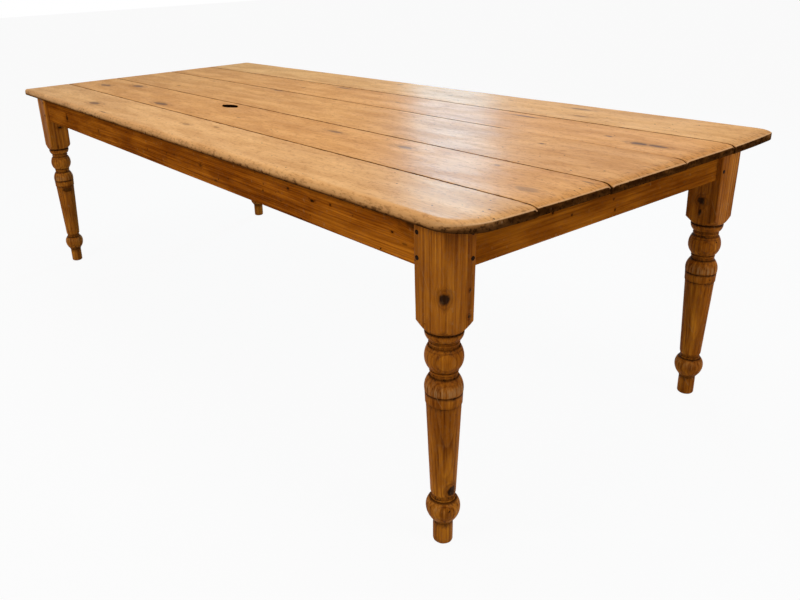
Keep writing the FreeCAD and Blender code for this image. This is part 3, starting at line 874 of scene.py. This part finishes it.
# %% Top finish
TOP_TONES = ((0.742, 0.356, 0.108), (0.480, 0.190, 0.042))
TOP_LOOK = dict(
    contrast=0.18, streaks=0.06, fibre=0.06, grit=0.15, mottling=0.11, patina=0.06, relief=0.28,
    depthless=True, coat=0.20, specular=0.0, knot_tone=(0.130, 0.066, 0.034),
    bare_and_highlight_tone=(0.560, 0.370, 0.220),
)
BOARD_LOOKS = {
    # pith across and below, tint, ring width, knots as (x, y, radius, stretch, strength)
    "front_board": (-0.40, 0.12, (0.97, 1.03, 1.22), 0.0050, (
        (-0.637, -0.487, 0.017, 2.6, 0.8), (0.026, -0.445, 0.009, 2.6, 0.5),
        (-0.414, -0.540, 0.003, 9.0, 1.0))),
    "second_board": (-0.27, 0.09, (0.90, 0.855, 0.82), 0.0046, (
        (-1.098, -0.269, 0.018, 2.4, 0.8), (-0.941, -0.190, 0.019, 2.4, 0.9),
        (-0.417, -0.325, 0.015, 3.6, 0.9), (0.470, -0.207, 0.009, 4.0, 0.7),
        (0.759, -0.207, 0.011, 3.0, 0.6), (1.049, -0.188, 0.006, 1.8, 0.5),
        (1.222, -0.293, 0.016, 2.0, 0.4))),
    "middle_board": (0.05, 0.16, (0.90, 0.87, 0.86), 0.0042, (
        (0.981, 0.047, 0.005, 1.5, 1.0), (-0.330, 0.118, 0.007, 5.0, 0.7))),
    "fourth_board": (0.16, 0.10, (0.91, 0.86, 0.83), 0.0048, (
        (1.149, 0.197, 0.012, 2.2, 1.0), (1.196, 0.200, 0.011, 2.6, 0.9),
        (1.047, 0.224, 0.005, 2.0, 1.0), (0.713, 0.300, 0.007, 7.0, 0.8),
        (-0.169, 0.314, 0.009, 5.0, 0.8))),
    "back_board": (0.48, 0.14, (0.97, 1.02, 1.15), 0.0044, (
        (0.762, 0.489, 0.008, 5.0, 0.7), (0.832, 0.399, 0.007, 4.0, 0.6))),
}


def set_finish(piece, material):
    piece.data.materials.clear()
    piece.data.materials.append(material)


def wax(piece, node, slot, tones, tint, knots, **look):
    """Gives a piece a pine finish of its own, and lets it stand for its CAD node."""
    early, late = (tinted(tone, tint) for tone in tones)
    set_finish(piece, pine_material(f"{node}_wax", early=early, late=late, knots=knots, **look))
    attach(piece, "root")
    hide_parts(node)
    print(node, "finish with", len(knots), "knots")


for number, (node, (pith_y, pith_depth, tint, ring_width, knots)) in enumerate(BOARD_LOOKS.items()):
    wax(board_pieces[node], node, "waxed_pine_top", TOP_TONES, tint,
        [(x, y, cad_high.z, *size) for x, y, *size in knots],
        pith=(0.0, pith_y, cad_high.z - pith_depth), ring_width=ring_width, seed=11.3 * (1 + number),
        hole=(KNOT_HOLE_PLACE, *KNOT_HOLE_SHADE_HALF) if node == "second_board" else None, **TOP_LOOK)

# %% [markdown]
# ## The turned legs
# A leg starts as a square post. The turner leaves the head square, rounds its corners off just below
# and cuts the collar, ball, bead, shaft, ring and foot with gouge and skew. A Screw modifier on a
# profile would make the round part but not the square head, so the whole leg is a grid of rings: each
# ring has a radius for every angle, a circle below and a square with soft corners above, and the sloping
# shoulder between them is simply the smaller of a cone and the square.

# %% Leg profile
HEAD_WIDTH = 0.085
HEAD_TAPER = (0.965, 0.16)
SHOULDER_RADIUS = 0.040
BULGE_STEPS = 20
SCORE = (0.0013, 0.002)
FILLET_EDGE = (0.85, 0.0003)
STEP_RISE = 0.0001
FOOT = ((0.0155, 0.0), (0.0186, 0.0008), (0.0205, 0.0025), (0.0214, 0.0050), (0.0215, 0.0070),
        (0.0216, 0.020), (0.0217, 0.040), (0.0215, 0.0568), (0.0233, 0.0571), (0.0235, 0.0590),
        (0.0233, 0.0608), (0.0225, 0.0610))
UNDER_HEAD = ((0.0372, 0.5142), (0.0370, 0.5160), (0.0372, 0.5178))


def swelling(widest, height, drop, away):
    """The radius of a round swelling away from its widest point, where it drops so far in a height."""
    arc = (drop**2 + height**2) / (2 * drop)
    return widest - arc + sqrt(arc**2 - away**2)


def bulge(profile, widest, lower, upper):
    """A round swelling. lower and upper are (height, drop) on each side of the widest point."""
    middle = profile[-1][1] + lower[0]
    for (height, drop), side in ((lower, -1), (upper, 1)):
        for step in range(BULGE_STEPS + 1):
            share = step / BULGE_STEPS
            away = height * (1 - share if side < 0 else share)
            profile.append((swelling(widest, height, drop, away), middle + side * away))


def neck(profile, radius, top, fillets):
    """A straight neck up to top. Each fillet is (low, high, projection)."""
    share, rise = FILLET_EDGE
    profile.append((radius, profile[-1][1] + STEP_RISE))
    for low, high, projection in fillets:
        edge = radius + projection * share
        profile += [(radius, low), (edge, low + rise), (radius + projection, (low + high) / 2),
                    (edge, high - rise), (radius, high)]
    profile.append((radius, top))


def score(profile):
    """A cut line round the leg."""
    radius, low = profile[-1]
    depth, width = SCORE
    profile += [(radius - depth, low + width / 2), (radius, low + width)]


def leg_profile():
    """Radius and height from the floor up to the head, with the same sizes as the CAD leg."""
    profile = list(FOOT)
    # the ring over the foot, and the hollow up to the shaft
    bulge(profile, 0.0372, (0.032, 0.0122), (0.021, 0.0082))
    neck(profile, 0.0245, 0.127, ((0.1153, 0.1194, 0.002), (0.1212, 0.1228, 0.0008)))
    for step in range(1, 7):
        rise = step / 6
        profile.append((0.0245 + 0.0031 * sqrt(1 - (1 - rise) ** 2), 0.127 + 0.008 * rise))
    # the tapered shaft, and the band between two scored lines
    for step in range(1, 25):
        share = step / 24
        profile.append((0.0276 + 0.0093 * share, 0.135 + 0.215 * share))
    score(profile)
    for share in (0.0, 0.25, 0.5, 0.75, 1.0):
        profile.append((0.0385 + 0.0009 * share, 0.3521 + 0.0229 * share))
    score(profile)
    # the bead, the ball and their necks
    bulge(profile, 0.0403, (0.009, 0.0007), (0.027, 0.0093))
    neck(profile, 0.0280, 0.428, ((0.4170, 0.4192, 0.0012), (0.42235, 0.42635, 0.002)))
    bulge(profile, 0.0404, (0.028, 0.0114), (0.025, 0.0066))
    neck(profile, 0.0300, 0.497, ((0.4870, 0.4910, 0.002), (0.4930, 0.4948, 0.0013)))
    # the collar under the head
    for step in range(9):
        away = 0.017 * (1 - step / 8)
        profile.append((swelling(0.0402, 0.017, 0.0062, away), 0.514 - away))
    return profile + list(UNDER_HEAD)


print("leg profile:", len(leg_profile()), "rings up to", leg_profile()[-1][1], "m")

# %% [markdown]
# Dirt and old wax stay in the turned grooves and under the foot, and the fat part of the bead is rubbed
# dry. The quirk under the head and the top of the head, under the overhanging top, are darkened as
# painted shade, and the upper side of the ring is pale, partly rubbed dry and partly a painted sheen.
# All are written on the rings by height.

# %% Leg meshes
LEGS = ("front_right_leg", "back_right_leg", "back_left_leg", "front_left_leg")
HEAD_ARRIS = 0.0038
SHARP_TURNING = radians(50)
TOOL_MARKS = 0.0003
SHOULDER_GAP = 0.0002
SHOULDER_STEP = 0.0013
SHOULDER_RINGS = 17
HEAD_GAPS = (0.004, 0.03, 1.5)
# darkening that fades from an edge: its strength and its reach. At the foot it is dirt, under the top it
# is painted shadow
FOOT_DIRT = (0.9, 0.0030)
HEAD_OVERHANG_SHADOW = (0.55, 0.010)
CORNER_STEPS = (0.0, 0.8, 1.6, 2.4, 3.4, 5.0, 7.5, 11.0, 15.0, 19.0, 23.0, 27.0, 31.5, 36.0, 40.5)
# the last groove, the quirk under the head, is darkened as painted shade; the others hold dirt and old
# wax
GROOVES = (
    # height, half width, strength
    (0.0565, 0.0026, 0.9), (0.0620, 0.0030, 0.92), (0.1142, 0.0026, 0.85), (0.1203, 0.0016, 0.9),
    (0.1245, 0.0028, 0.92), (0.3510, 0.0016, 0.75), (0.3760, 0.0024, 1.0), (0.4145, 0.0036, 0.95),
    (0.4208, 0.0020, 0.9), (0.4276, 0.0022, 0.95), (0.4755, 0.0014, 0.6), (0.4835, 0.0040, 0.97),
    (0.4920, 0.0014, 0.92), (0.4960, 0.0016, 0.95), (0.5160, 0.0045, 1.0),
)
# pale bands as height, half width, strength: the bead rubbed dry, and the ring's upper side, partly
# rubbed dry and partly a painted sheen
DRY_AND_SHEEN_BANDS = ((0.3890, 0.0110, 1.0), (0.1020, 0.0100, 0.40))


def banded(height, bands):
    """The strongest of some soft bands at a height."""
    return max(strength * exp(-((height - at) / width) ** 2) for at, width, strength in bands)


def faded(dirt_and_shade, gap):
    """What is left of a darkening at a gap from its edge. It serves for dirt and for painted shade."""
    strength, reach = dirt_and_shade
    return strength * exp(-gap / reach)


def leg_wear(height, angle, top):
    """Grime and bareness on a leg by height, with a little change round it. The grime includes painted
    shadow under the top, and the bareness a painted sheen on the ring.
    """
    dirt_and_shade = max(banded(height, GROOVES), faded(FOOT_DIRT, height), faded(HEAD_OVERHANG_SHADOW, top - height))
    patch = 0.6 + 0.6 * slow_noise(cos(angle) * 2, sin(angle) * 2, height * 20)
    return min(0.95, dirt_and_shade), max(0.0, banded(height, DRY_AND_SHEEN_BANDS) * patch)


def head_radius(angle):
    """The square head with soft corners, in polar form."""
    half = HEAD_WIDTH / 2
    across, up = abs(cos(angle)), abs(sin(angle))
    flat = half / max(across, up)
    seat = half - HEAD_ARRIS
    if min(across, up) * flat <= seat:
        return flat
    lean = seat * (across + up)
    return lean + sqrt(max(0.0, lean**2 - 2 * seat**2 + HEAD_ARRIS**2))


def ring_angles():
    """Angles round a leg, close together at the head's four corners."""
    steps = [45] + [side * step for step in CORNER_STEPS for side in (1, -1)]
    angles = {(corner + step) % 360 for corner in (45, 135, 225, 315) for step in steps}
    return [radians(angle) for angle in sorted(angles)]


def leg_rings(top):
    """Each ring as (height, radius or None for the head), and the height of the shoulder."""
    rings = [(height, radius) for radius, height in leg_profile()]
    shoulder = rings[-1][0] + SHOULDER_GAP
    heights = [shoulder + step * SHOULDER_STEP for step in range(SHOULDER_RINGS)]
    heights += graded(heights[-1] + HEAD_GAPS[0], top, *HEAD_GAPS)
    return rings + [(height, None) for height in heights], shoulder


def middle_of(node):
    low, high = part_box(node)
    return (low + high) / 2


def leg_mesh(node):
    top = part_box(node)[1].z
    axis = middle_of(node)
    angles = ring_angles()
    rings, shoulder = leg_rings(top)
    seed = axis.x * 3 + axis.y * 7
    narrow, taper_length = HEAD_TAPER
    rows = []
    for height, radius in rings:
        row = []
        for angle in angles:
            reach = radius
            if reach is None:
                slimmer = min(1.0, narrow + (1 - narrow) * (height - shoulder) / taper_length)
                reach = min(SHOULDER_RADIUS + height - shoulder, head_radius(angle) * slimmer)
            way = Vector((cos(angle), sin(angle), 0))
            reach += TOOL_MARKS * slow_noise(way.x * 2, way.y * 2, height * 22 + seed)
            point = (axis.x + way.x * reach, axis.y + way.y * reach, height)
            row.append((point, leg_wear(height, angle, top)))
        rows.append(row)
    verts, wear, sides = swept(rows, LEG_QUAD)
    ends = [tuple(reversed(range(len(angles)))), tuple(range(len(verts) - len(angles), len(verts)))]
    return finish_mesh(f"{node}_turned", verts, ends + sides, wear, SHARP_TURNING)


leg_pieces = {node: leg_mesh(node) for node in LEGS}
count_points("legs:", leg_pieces)

# %% [markdown]
# ## The legs' finish
# The legs and aprons kept a deeper orange brown than the scrubbed top. On a leg the grain runs up, and
# where the ball and the ring swell through the yearly rings, the same solid rings show as ovals.

# %% Leg finish
FRAME_TONES = ((0.400, 0.122, 0.008), (0.125, 0.026, 0.001))
PITH_OFFSET = 0.10
LEG_LOOK = dict(
    order=ALONG_Z, ring_width=0.0055, wander=0.030, contrast=0.42, streaks=0.66, mottling=0.22,
    patina=0.16, relief=0.6, weathered=True, flecks=0.14, scratches=0.30,
)
LEG_LOOKS = {
    # direction from the leg to its pith, tint, knots as (x, y, z, radius, stretch, strength)
    "front_right_leg": ((-0.82, 0.57), (1.00, 1.00, 1.00), (
        (1.2300, -0.5250, 0.602, 0.0135, 1.0, 1.0), (1.2330, -0.4585, 0.6035, 0.0030, 1.0, 1.0),
        (1.2330, -0.4593, 0.5476, 0.0045, 1.0, 1.0), (1.2187, -0.4873, 0.143, 0.0110, 1.2, 1.0))),
    "back_right_leg": ((-0.60, 0.80), (1.00, 0.98, 0.95), (
        (1.1890, 0.4430, 0.583, 0.0110, 1.1, 1.0), (1.1885, 0.4430, 0.553, 0.0040, 3.0, 1.0))),
    "back_left_leg": ((0.70, 0.70), (1.05, 1.05, 1.05), (
        (-1.1480, 0.4900, 0.640, 0.0080, 1.3, 0.9),)),
    "front_left_leg": ((-0.70, 0.71), (1.22, 1.26, 1.60), (
        (-1.1480, -0.4780, 0.611, 0.0100, 0.5, 1.0), (-1.1560, -0.4870, 0.338, 0.0260, 0.45, 0.75))),
}

for number, (node, (way, tint, knots)) in enumerate(LEG_LOOKS.items()):
    axis = middle_of(node)
    pith = (axis.x + way[0] * PITH_OFFSET, axis.y + way[1] * PITH_OFFSET, 0.0)
    wax(leg_pieces[node], node, "waxed_pine_frame", FRAME_TONES, tint, knots, pith=pith,
        seed=5.1 + 7.9 * number, **LEG_LOOK)

# %% [markdown]
# ## The aprons
# An apron is a plain plank with a tenon at each end. The CAD solid has the joints but razor edges, so a
# worn plank replaces it: a soft-edged section swept along the length with a little waviness, and the two
# tenons that go into the legs. Painted shade darkens the aprons under the overhanging top and in the
# corners at the legs.

# %% Apron shapes
APRON_ARRIS = 0.0022
APRON_WAVES = 0.0005
TENON_THICKNESS = 0.012
TENON_UPPER_SHOULDER = 0.012
TENON_LOWER_SHOULDER = 0.008
TENON_DIRT = 0.3
# painted shade in the corners at the legs, and painted shadow under the overhanging top: strength and
# reach
CORNER_SHADE = (0.75, 0.0045)
OVERHANG_SHADOW = (0.6, 0.014)
APRON_GAPS = (0.0015, 0.03, 1.4)
FACE_SHARES = (0.03, 0.08, 0.15, 0.25, 0.4, 0.6, 0.8, 0.95)
APRONS = {"front_apron": 0, "back_apron": 0, "left_apron": 1, "right_apron": 1}


def soft_section(width, height):
    """Points round a rectangle with soft corners, from its middle, with points along the long faces."""
    points = []
    flat = height / 2 - APRON_ARRIS
    for corner, start in (((1, 1), 0), ((-1, 1), 90), ((-1, -1), 180), ((1, -1), 270)):
        for step in range(4):
            angle = radians(start + 30 * step)
            points.append((corner[0] * (width / 2 - APRON_ARRIS) + APRON_ARRIS * cos(angle),
                           corner[1] * flat + APRON_ARRIS * sin(angle)))
        if corner == (-1, 1):
            points.extend((-width / 2, flat * (1 - 2 * share)) for share in FACE_SHARES)
        if corner == (1, -1):
            points.extend((width / 2, flat * (1 - 2 * share)) for share in reversed(FACE_SHARES))
    return points


def box_shell(verts, faces, low, high):
    """Adds a closed box."""
    first = len(verts)
    for z in (low.z, high.z):
        for x, y in ((low.x, low.y), (high.x, low.y), (high.x, high.y), (low.x, high.y)):
            verts.append((x, y, z))
    for quad in ((3, 2, 1, 0), (4, 5, 6, 7), *bridged(2, 4, LEG_QUAD)):
        faces.append(tuple(first + corner for corner in quad))


def apron_mesh(node, axis):
    """axis is 0 for an apron along X and 1 for one along Y."""
    low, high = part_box(node)
    middle = middle_of(node)
    across = 1 - axis
    start = middle_of("front_left_leg")[axis] + HEAD_WIDTH / 2
    end = middle_of("back_right_leg")[axis] - HEAD_WIDTH / 2
    section = soft_section(high[across] - low[across], high.z - low.z)
    stations = graded(start, end, *APRON_GAPS)
    rows = []
    for at in stations:
        row = []
        corner_shade = faded(CORNER_SHADE, min(at - start, end - at))
        for side, up in section:
            waves = APRON_WAVES * slow_noise(at * 3, up * 20, middle[across] * 5)
            point = Vector((0, 0, middle.z + up))
            point[axis] = at
            point[across] = middle[across] + side + waves
            # painted shade at the legs and under the top
            dirt_and_shade = max(corner_shade, faded(OVERHANG_SHADOW, high.z - point.z))
            row.append((point[:], (dirt_and_shade, 0.0)))
        rows.append(row)
    verts, wear, faces = swept(rows, APRON_QUADS[axis])
    count = len(section)
    caps = (tuple(range(count)), tuple(reversed(range(len(verts) - count, len(verts)))))
    faces.extend(caps if axis == 0 else (tuple(reversed(cap)) for cap in caps))
    tenon_low = Vector((0, 0, low.z + TENON_LOWER_SHOULDER))
    tenon_high = Vector((0, 0, high.z - TENON_UPPER_SHOULDER))
    tenon_low[across] = middle[across] - TENON_THICKNESS / 2
    tenon_high[across] = middle[across] + TENON_THICKNESS / 2
    for inner, outer in ((start, low[axis]), (end, high[axis])):
        tenon_low[axis] = min(inner, outer)
        tenon_high[axis] = max(inner, outer)
        box_shell(verts, faces, tenon_low, tenon_high)
    wear.extend([(TENON_DIRT, 0.0)] * (len(verts) - len(wear)))
    return finish_mesh(f"{node}_plank", verts, faces, wear)


apron_pieces = {node: apron_mesh(node, axis) for node, axis in APRONS.items()}
count_points("aprons:", apron_pieces)

# %% [markdown]
# Quarter-sawn aprons have their pith well off to the side, so their lines run straight. Near the right
# leg a branch grew through the front apron's upper edge, and its lines sweep down round it. Nail holes
# are knots of a few millimetres.

# %% Apron finish
APRON_LOOK = dict(
    ring_width=0.0055, wander=0.06, streaks=0.50, mottling=0.24, patina=0.20, specular=0.0, relief=0.6,
    flecks=0.08, scratches=0.25,
)
APRON_LOOKS = {
    # pith from the middle, seed, tint, contrast, knots as (x, y, z, radius, stretch, strength)
    "front_apron": ((0.0, 0.05, -0.09), 31.0, (0.92, 0.80, 0.70), 0.62, (
        (1.1360, -0.5155, 0.7380, 0.0240, 1.5, 0.9), (0.693, -0.5155, 0.712, 0.0038, 1.3, 1.0),
        (0.792, -0.5155, 0.702, 0.0036, 2.6, 1.0), (0.576, -0.5155, 0.683, 0.0024, 1.0, 1.0),
        (0.240, -0.5155, 0.690, 0.0050, 1.8, 0.6), (-0.560, -0.5155, 0.680, 0.0050, 1.6, 0.6),
        (1.071, -0.5155, 0.696, 0.0026, 1.6, 1.0), (0.862, -0.5155, 0.707, 0.0026, 1.4, 1.0),
        (-0.9065, -0.5155, 0.686, 0.0110, 0.9, 1.0))),
    "back_apron": ((0.0, -0.06, -0.08), 47.0, (0.88, 0.75, 0.65), 0.36, (
        (-0.300, 0.5155, 0.690, 0.0060, 1.6, 0.8), (0.640, 0.5155, 0.700, 0.0050, 1.5, 0.8))),
    "left_apron": ((0.05, 0.0, -0.09), 59.0, (0.88, 0.75, 0.65), 0.36, (
        (-1.2208, 0.120, 0.690, 0.0060, 1.6, 0.8),)),
    "right_apron": ((-0.05, 0.0, -0.07), 67.0, (0.80, 0.74, 0.68), 0.36, (
        (1.2208, -0.206, 0.701, 0.0032, 1.0, 1.0), (1.2208, -0.142, 0.682, 0.0028, 1.0, 1.0),
        (1.2208, 0.002, 0.708, 0.0028, 1.0, 1.0), (1.2208, 0.005, 0.687, 0.0026, 1.0, 1.0),
        (1.2208, 0.013, 0.660, 0.0028, 1.0, 1.0))),
}

for node, (pith_from_middle, seed, tint, contrast, knots) in APRON_LOOKS.items():
    wax(apron_pieces[node], node, "waxed_pine_frame", FRAME_TONES, tint, knots, seed=seed,
        pith=middle_of(node) + Vector(pith_from_middle), contrast=contrast,
        order=ALONG_Y if APRONS[node] else ALONG_X, **APRON_LOOK)

# %% [markdown]
# ## Pegs and the hidden woodwork
# The pegs, bearers, glue blocks and screws keep their CAD solids, because those already have the right
# shape. The pegs' end grain has drunk in oil and dirt and is almost black. The bearers and blocks were
# never waxed: they are dry, pale and rough. The screws are dull old iron.

# %% Hidden pieces
PEG_LOOK = dict(
    early=(0.022, 0.009, 0.004), late=(0.008, 0.003, 0.002), pith=(0.0, 0.0, 0.7), ring_width=0.0015,
    contrast=0.8, seed=83.0, roughness=(0.55, 0.8),
)
RAW_LOOK = dict(
    early=(0.420, 0.240, 0.100), late=(0.250, 0.115, 0.040), contrast=0.6, roughness=(0.65, 0.85),
)
BEARER_PITH = Vector((0.03, 0, -0.06))
BLOCK_PITH = (0.0, 0.0, 0.60)
IRON_DARK = (0.045, 0.036, 0.031, 1.0)
IRON_RUST = (0.120, 0.045, 0.020, 1.0)
RUST_SCALE = 400.0
BEARERS = ("left_bearer", "middle_bearer", "right_bearer")


def iron_material():
    material, graph, shader = new_material("old_screw_iron")
    place = graph.add("TexCoord", "Object")
    rust = graph.noise(place.scaled(RUST_SCALE), 3.0).fade(0.45, 0.65)
    graph.fill(shader, {
        "Base Color": graph.mix(rust, IRON_DARK, IRON_RUST),
        "Roughness": rust.fade(0.0, 1.0, 0.45, 0.80),
        "Metallic": rust.fade(0.0, 1.0, 0.90, 0.20),
    })
    return material


cad_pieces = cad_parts
peg_look = pine_material("peg_end_grain", **PEG_LOOK)
iron_look = iron_material()
for node in LEGS:
    set_finish(cad_pieces[f"{node}_pegs"], peg_look)
for number, bearer in enumerate(BEARERS):
    pith = middle_of(bearer) + BEARER_PITH
    raw_look = pine_material(f"{bearer}_raw", pith=pith, order=ALONG_Y, seed=91.0 + number, **RAW_LOOK)
    set_finish(cad_pieces[bearer], raw_look)
    set_finish(cad_pieces[f"{bearer}_screws"], iron_look)
block_look = pine_material("glue_block_raw", pith=BLOCK_PITH, seed=97.0, **RAW_LOOK)
for side in ("front", "back", "left", "right"):
    set_finish(cad_pieces[f"{side}_glue_blocks"], block_look)
print("finished the pegs, bearers, screws and glue blocks")

# %% [markdown]
# ## Stage and light
# The photograph is a cut-out on white. The world is white to the camera and to reflections, and gives a
# plain soft light to everything else. Soft boxes hang over the table, before its front and beyond its
# right end. Two panes and a dimmer one beside them stand behind the far left corner, like a cool window
# and the wall it lights. Their reflection is the sheen that runs across the waxed boards.

# %% Stage and light
FLOOR_SIZE = 60.0
FLOOR_TONE = (0.60, 0.60, 0.60, 1.0)
FLOOR_ROUGHNESS = 0.9
FLOOR_GLOW = 0.94
BACKDROP_WHITE = 1.0
WORLD_LIGHT = 0.28
PAPER_WHITE = (1.0, 1.0, 1.0, 1.0)
STUDIO_WHITE = (1.0, 1.0, 1.0)
WINDOW_BLUE = (0.26, 0.70, 1.0)
SOFT_BOXES = {
    # place, aimed at, width, height, watts, colour
    "overhead_box": ((0.2, 0.2, 3.4), (0.2, 0.0, 0.7), 3.0, 2.0, 40.0, STUDIO_WHITE),
    "front_box": ((0.5, -3.6, 2.5), (0.8, -0.4, 0.6), 2.2, 1.4, 52.0, STUDIO_WHITE),
    "end_box": ((4.4, 0.8, 2.4), (1.0, 0.1, 0.6), 2.0, 1.4, 50.0, STUDIO_WHITE),
    "high_window": ((-2.2, 2.9, 2.25), (0.9, -0.3, 0.77), 0.62, 1.10, 40.0, WINDOW_BLUE),
    "low_window": ((-2.2, 2.9, 1.35), (0.5, 0.1, 0.77), 0.62, 0.65, 8.0, WINDOW_BLUE),
    "pale_wall": ((-1.5, 3.7, 1.95), (0.8, 0.0, 0.77), 1.70, 1.50, 9.0, WINDOW_BLUE),
}


def seen_directly(graph):
    """One for rays from the camera, a reflection or glass, and zero for the rays that carry light."""
    path = graph.add("LightPath")
    return path["Is Camera Ray"].most(path["Is Glossy Ray"]).most(path["Is Transmission Ray"])


world = bpy.data.worlds.new("white_studio")
scene.world = world
world.use_nodes = True
sky = Graph(world.node_tree)
brightness = seen_directly(sky).fade(0.0, 1.0, WORLD_LIGHT, BACKDROP_WHITE)
sky.fill(world.node_tree.nodes["Background"], {"Color": PAPER_WHITE, "Strength": brightness})

floor_mesh = bpy.data.meshes.new("floor")
half = FLOOR_SIZE / 2
corners = [(-half, -half, 0), (half, -half, 0), (half, half, 0), (-half, half, 0)]
floor_mesh.from_pydata(corners, [], [(0, 1, 2, 3)])
floor = new_object("floor", floor_mesh)
floor_look, pale, floor_shader = new_material("pale_floor")
pale.fill(floor_shader, {"Base Color": FLOOR_TONE, "Roughness": FLOOR_ROUGHNESS,
                         "Specular IOR Level": 0.0})
glow = pale.add("Emission", 0, {"Color": PAPER_WHITE, "Strength": 1.0})
share = seen_directly(pale) * FLOOR_GLOW
lit = Value(pale, floor_shader.outputs[0])
both = pale.add("MixShader", 0, {0: share, 1: lit, 2: glow})
pale.fill(floor_look.node_tree.nodes["Material Output"], {"Surface": both})
floor_mesh.materials.append(floor_look)

for name, (place, target, width, height, watts, colour) in SOFT_BOXES.items():
    lamp = bpy.data.lights.new(name, "AREA")
    lamp.shape = "RECTANGLE"
    lamp.size = width
    lamp.size_y = height
    lamp.energy = watts
    lamp.color = colour
    holder = new_object(name, lamp)
    holder.location = place
    ahead = Vector(target) - Vector(place)
    holder.rotation_euler = ahead.to_track_quat("-Z", "Y").to_euler()

scene.view_settings.view_transform = "Standard"
print("stage: floor, world and", len(SOFT_BOXES), "soft boxes")
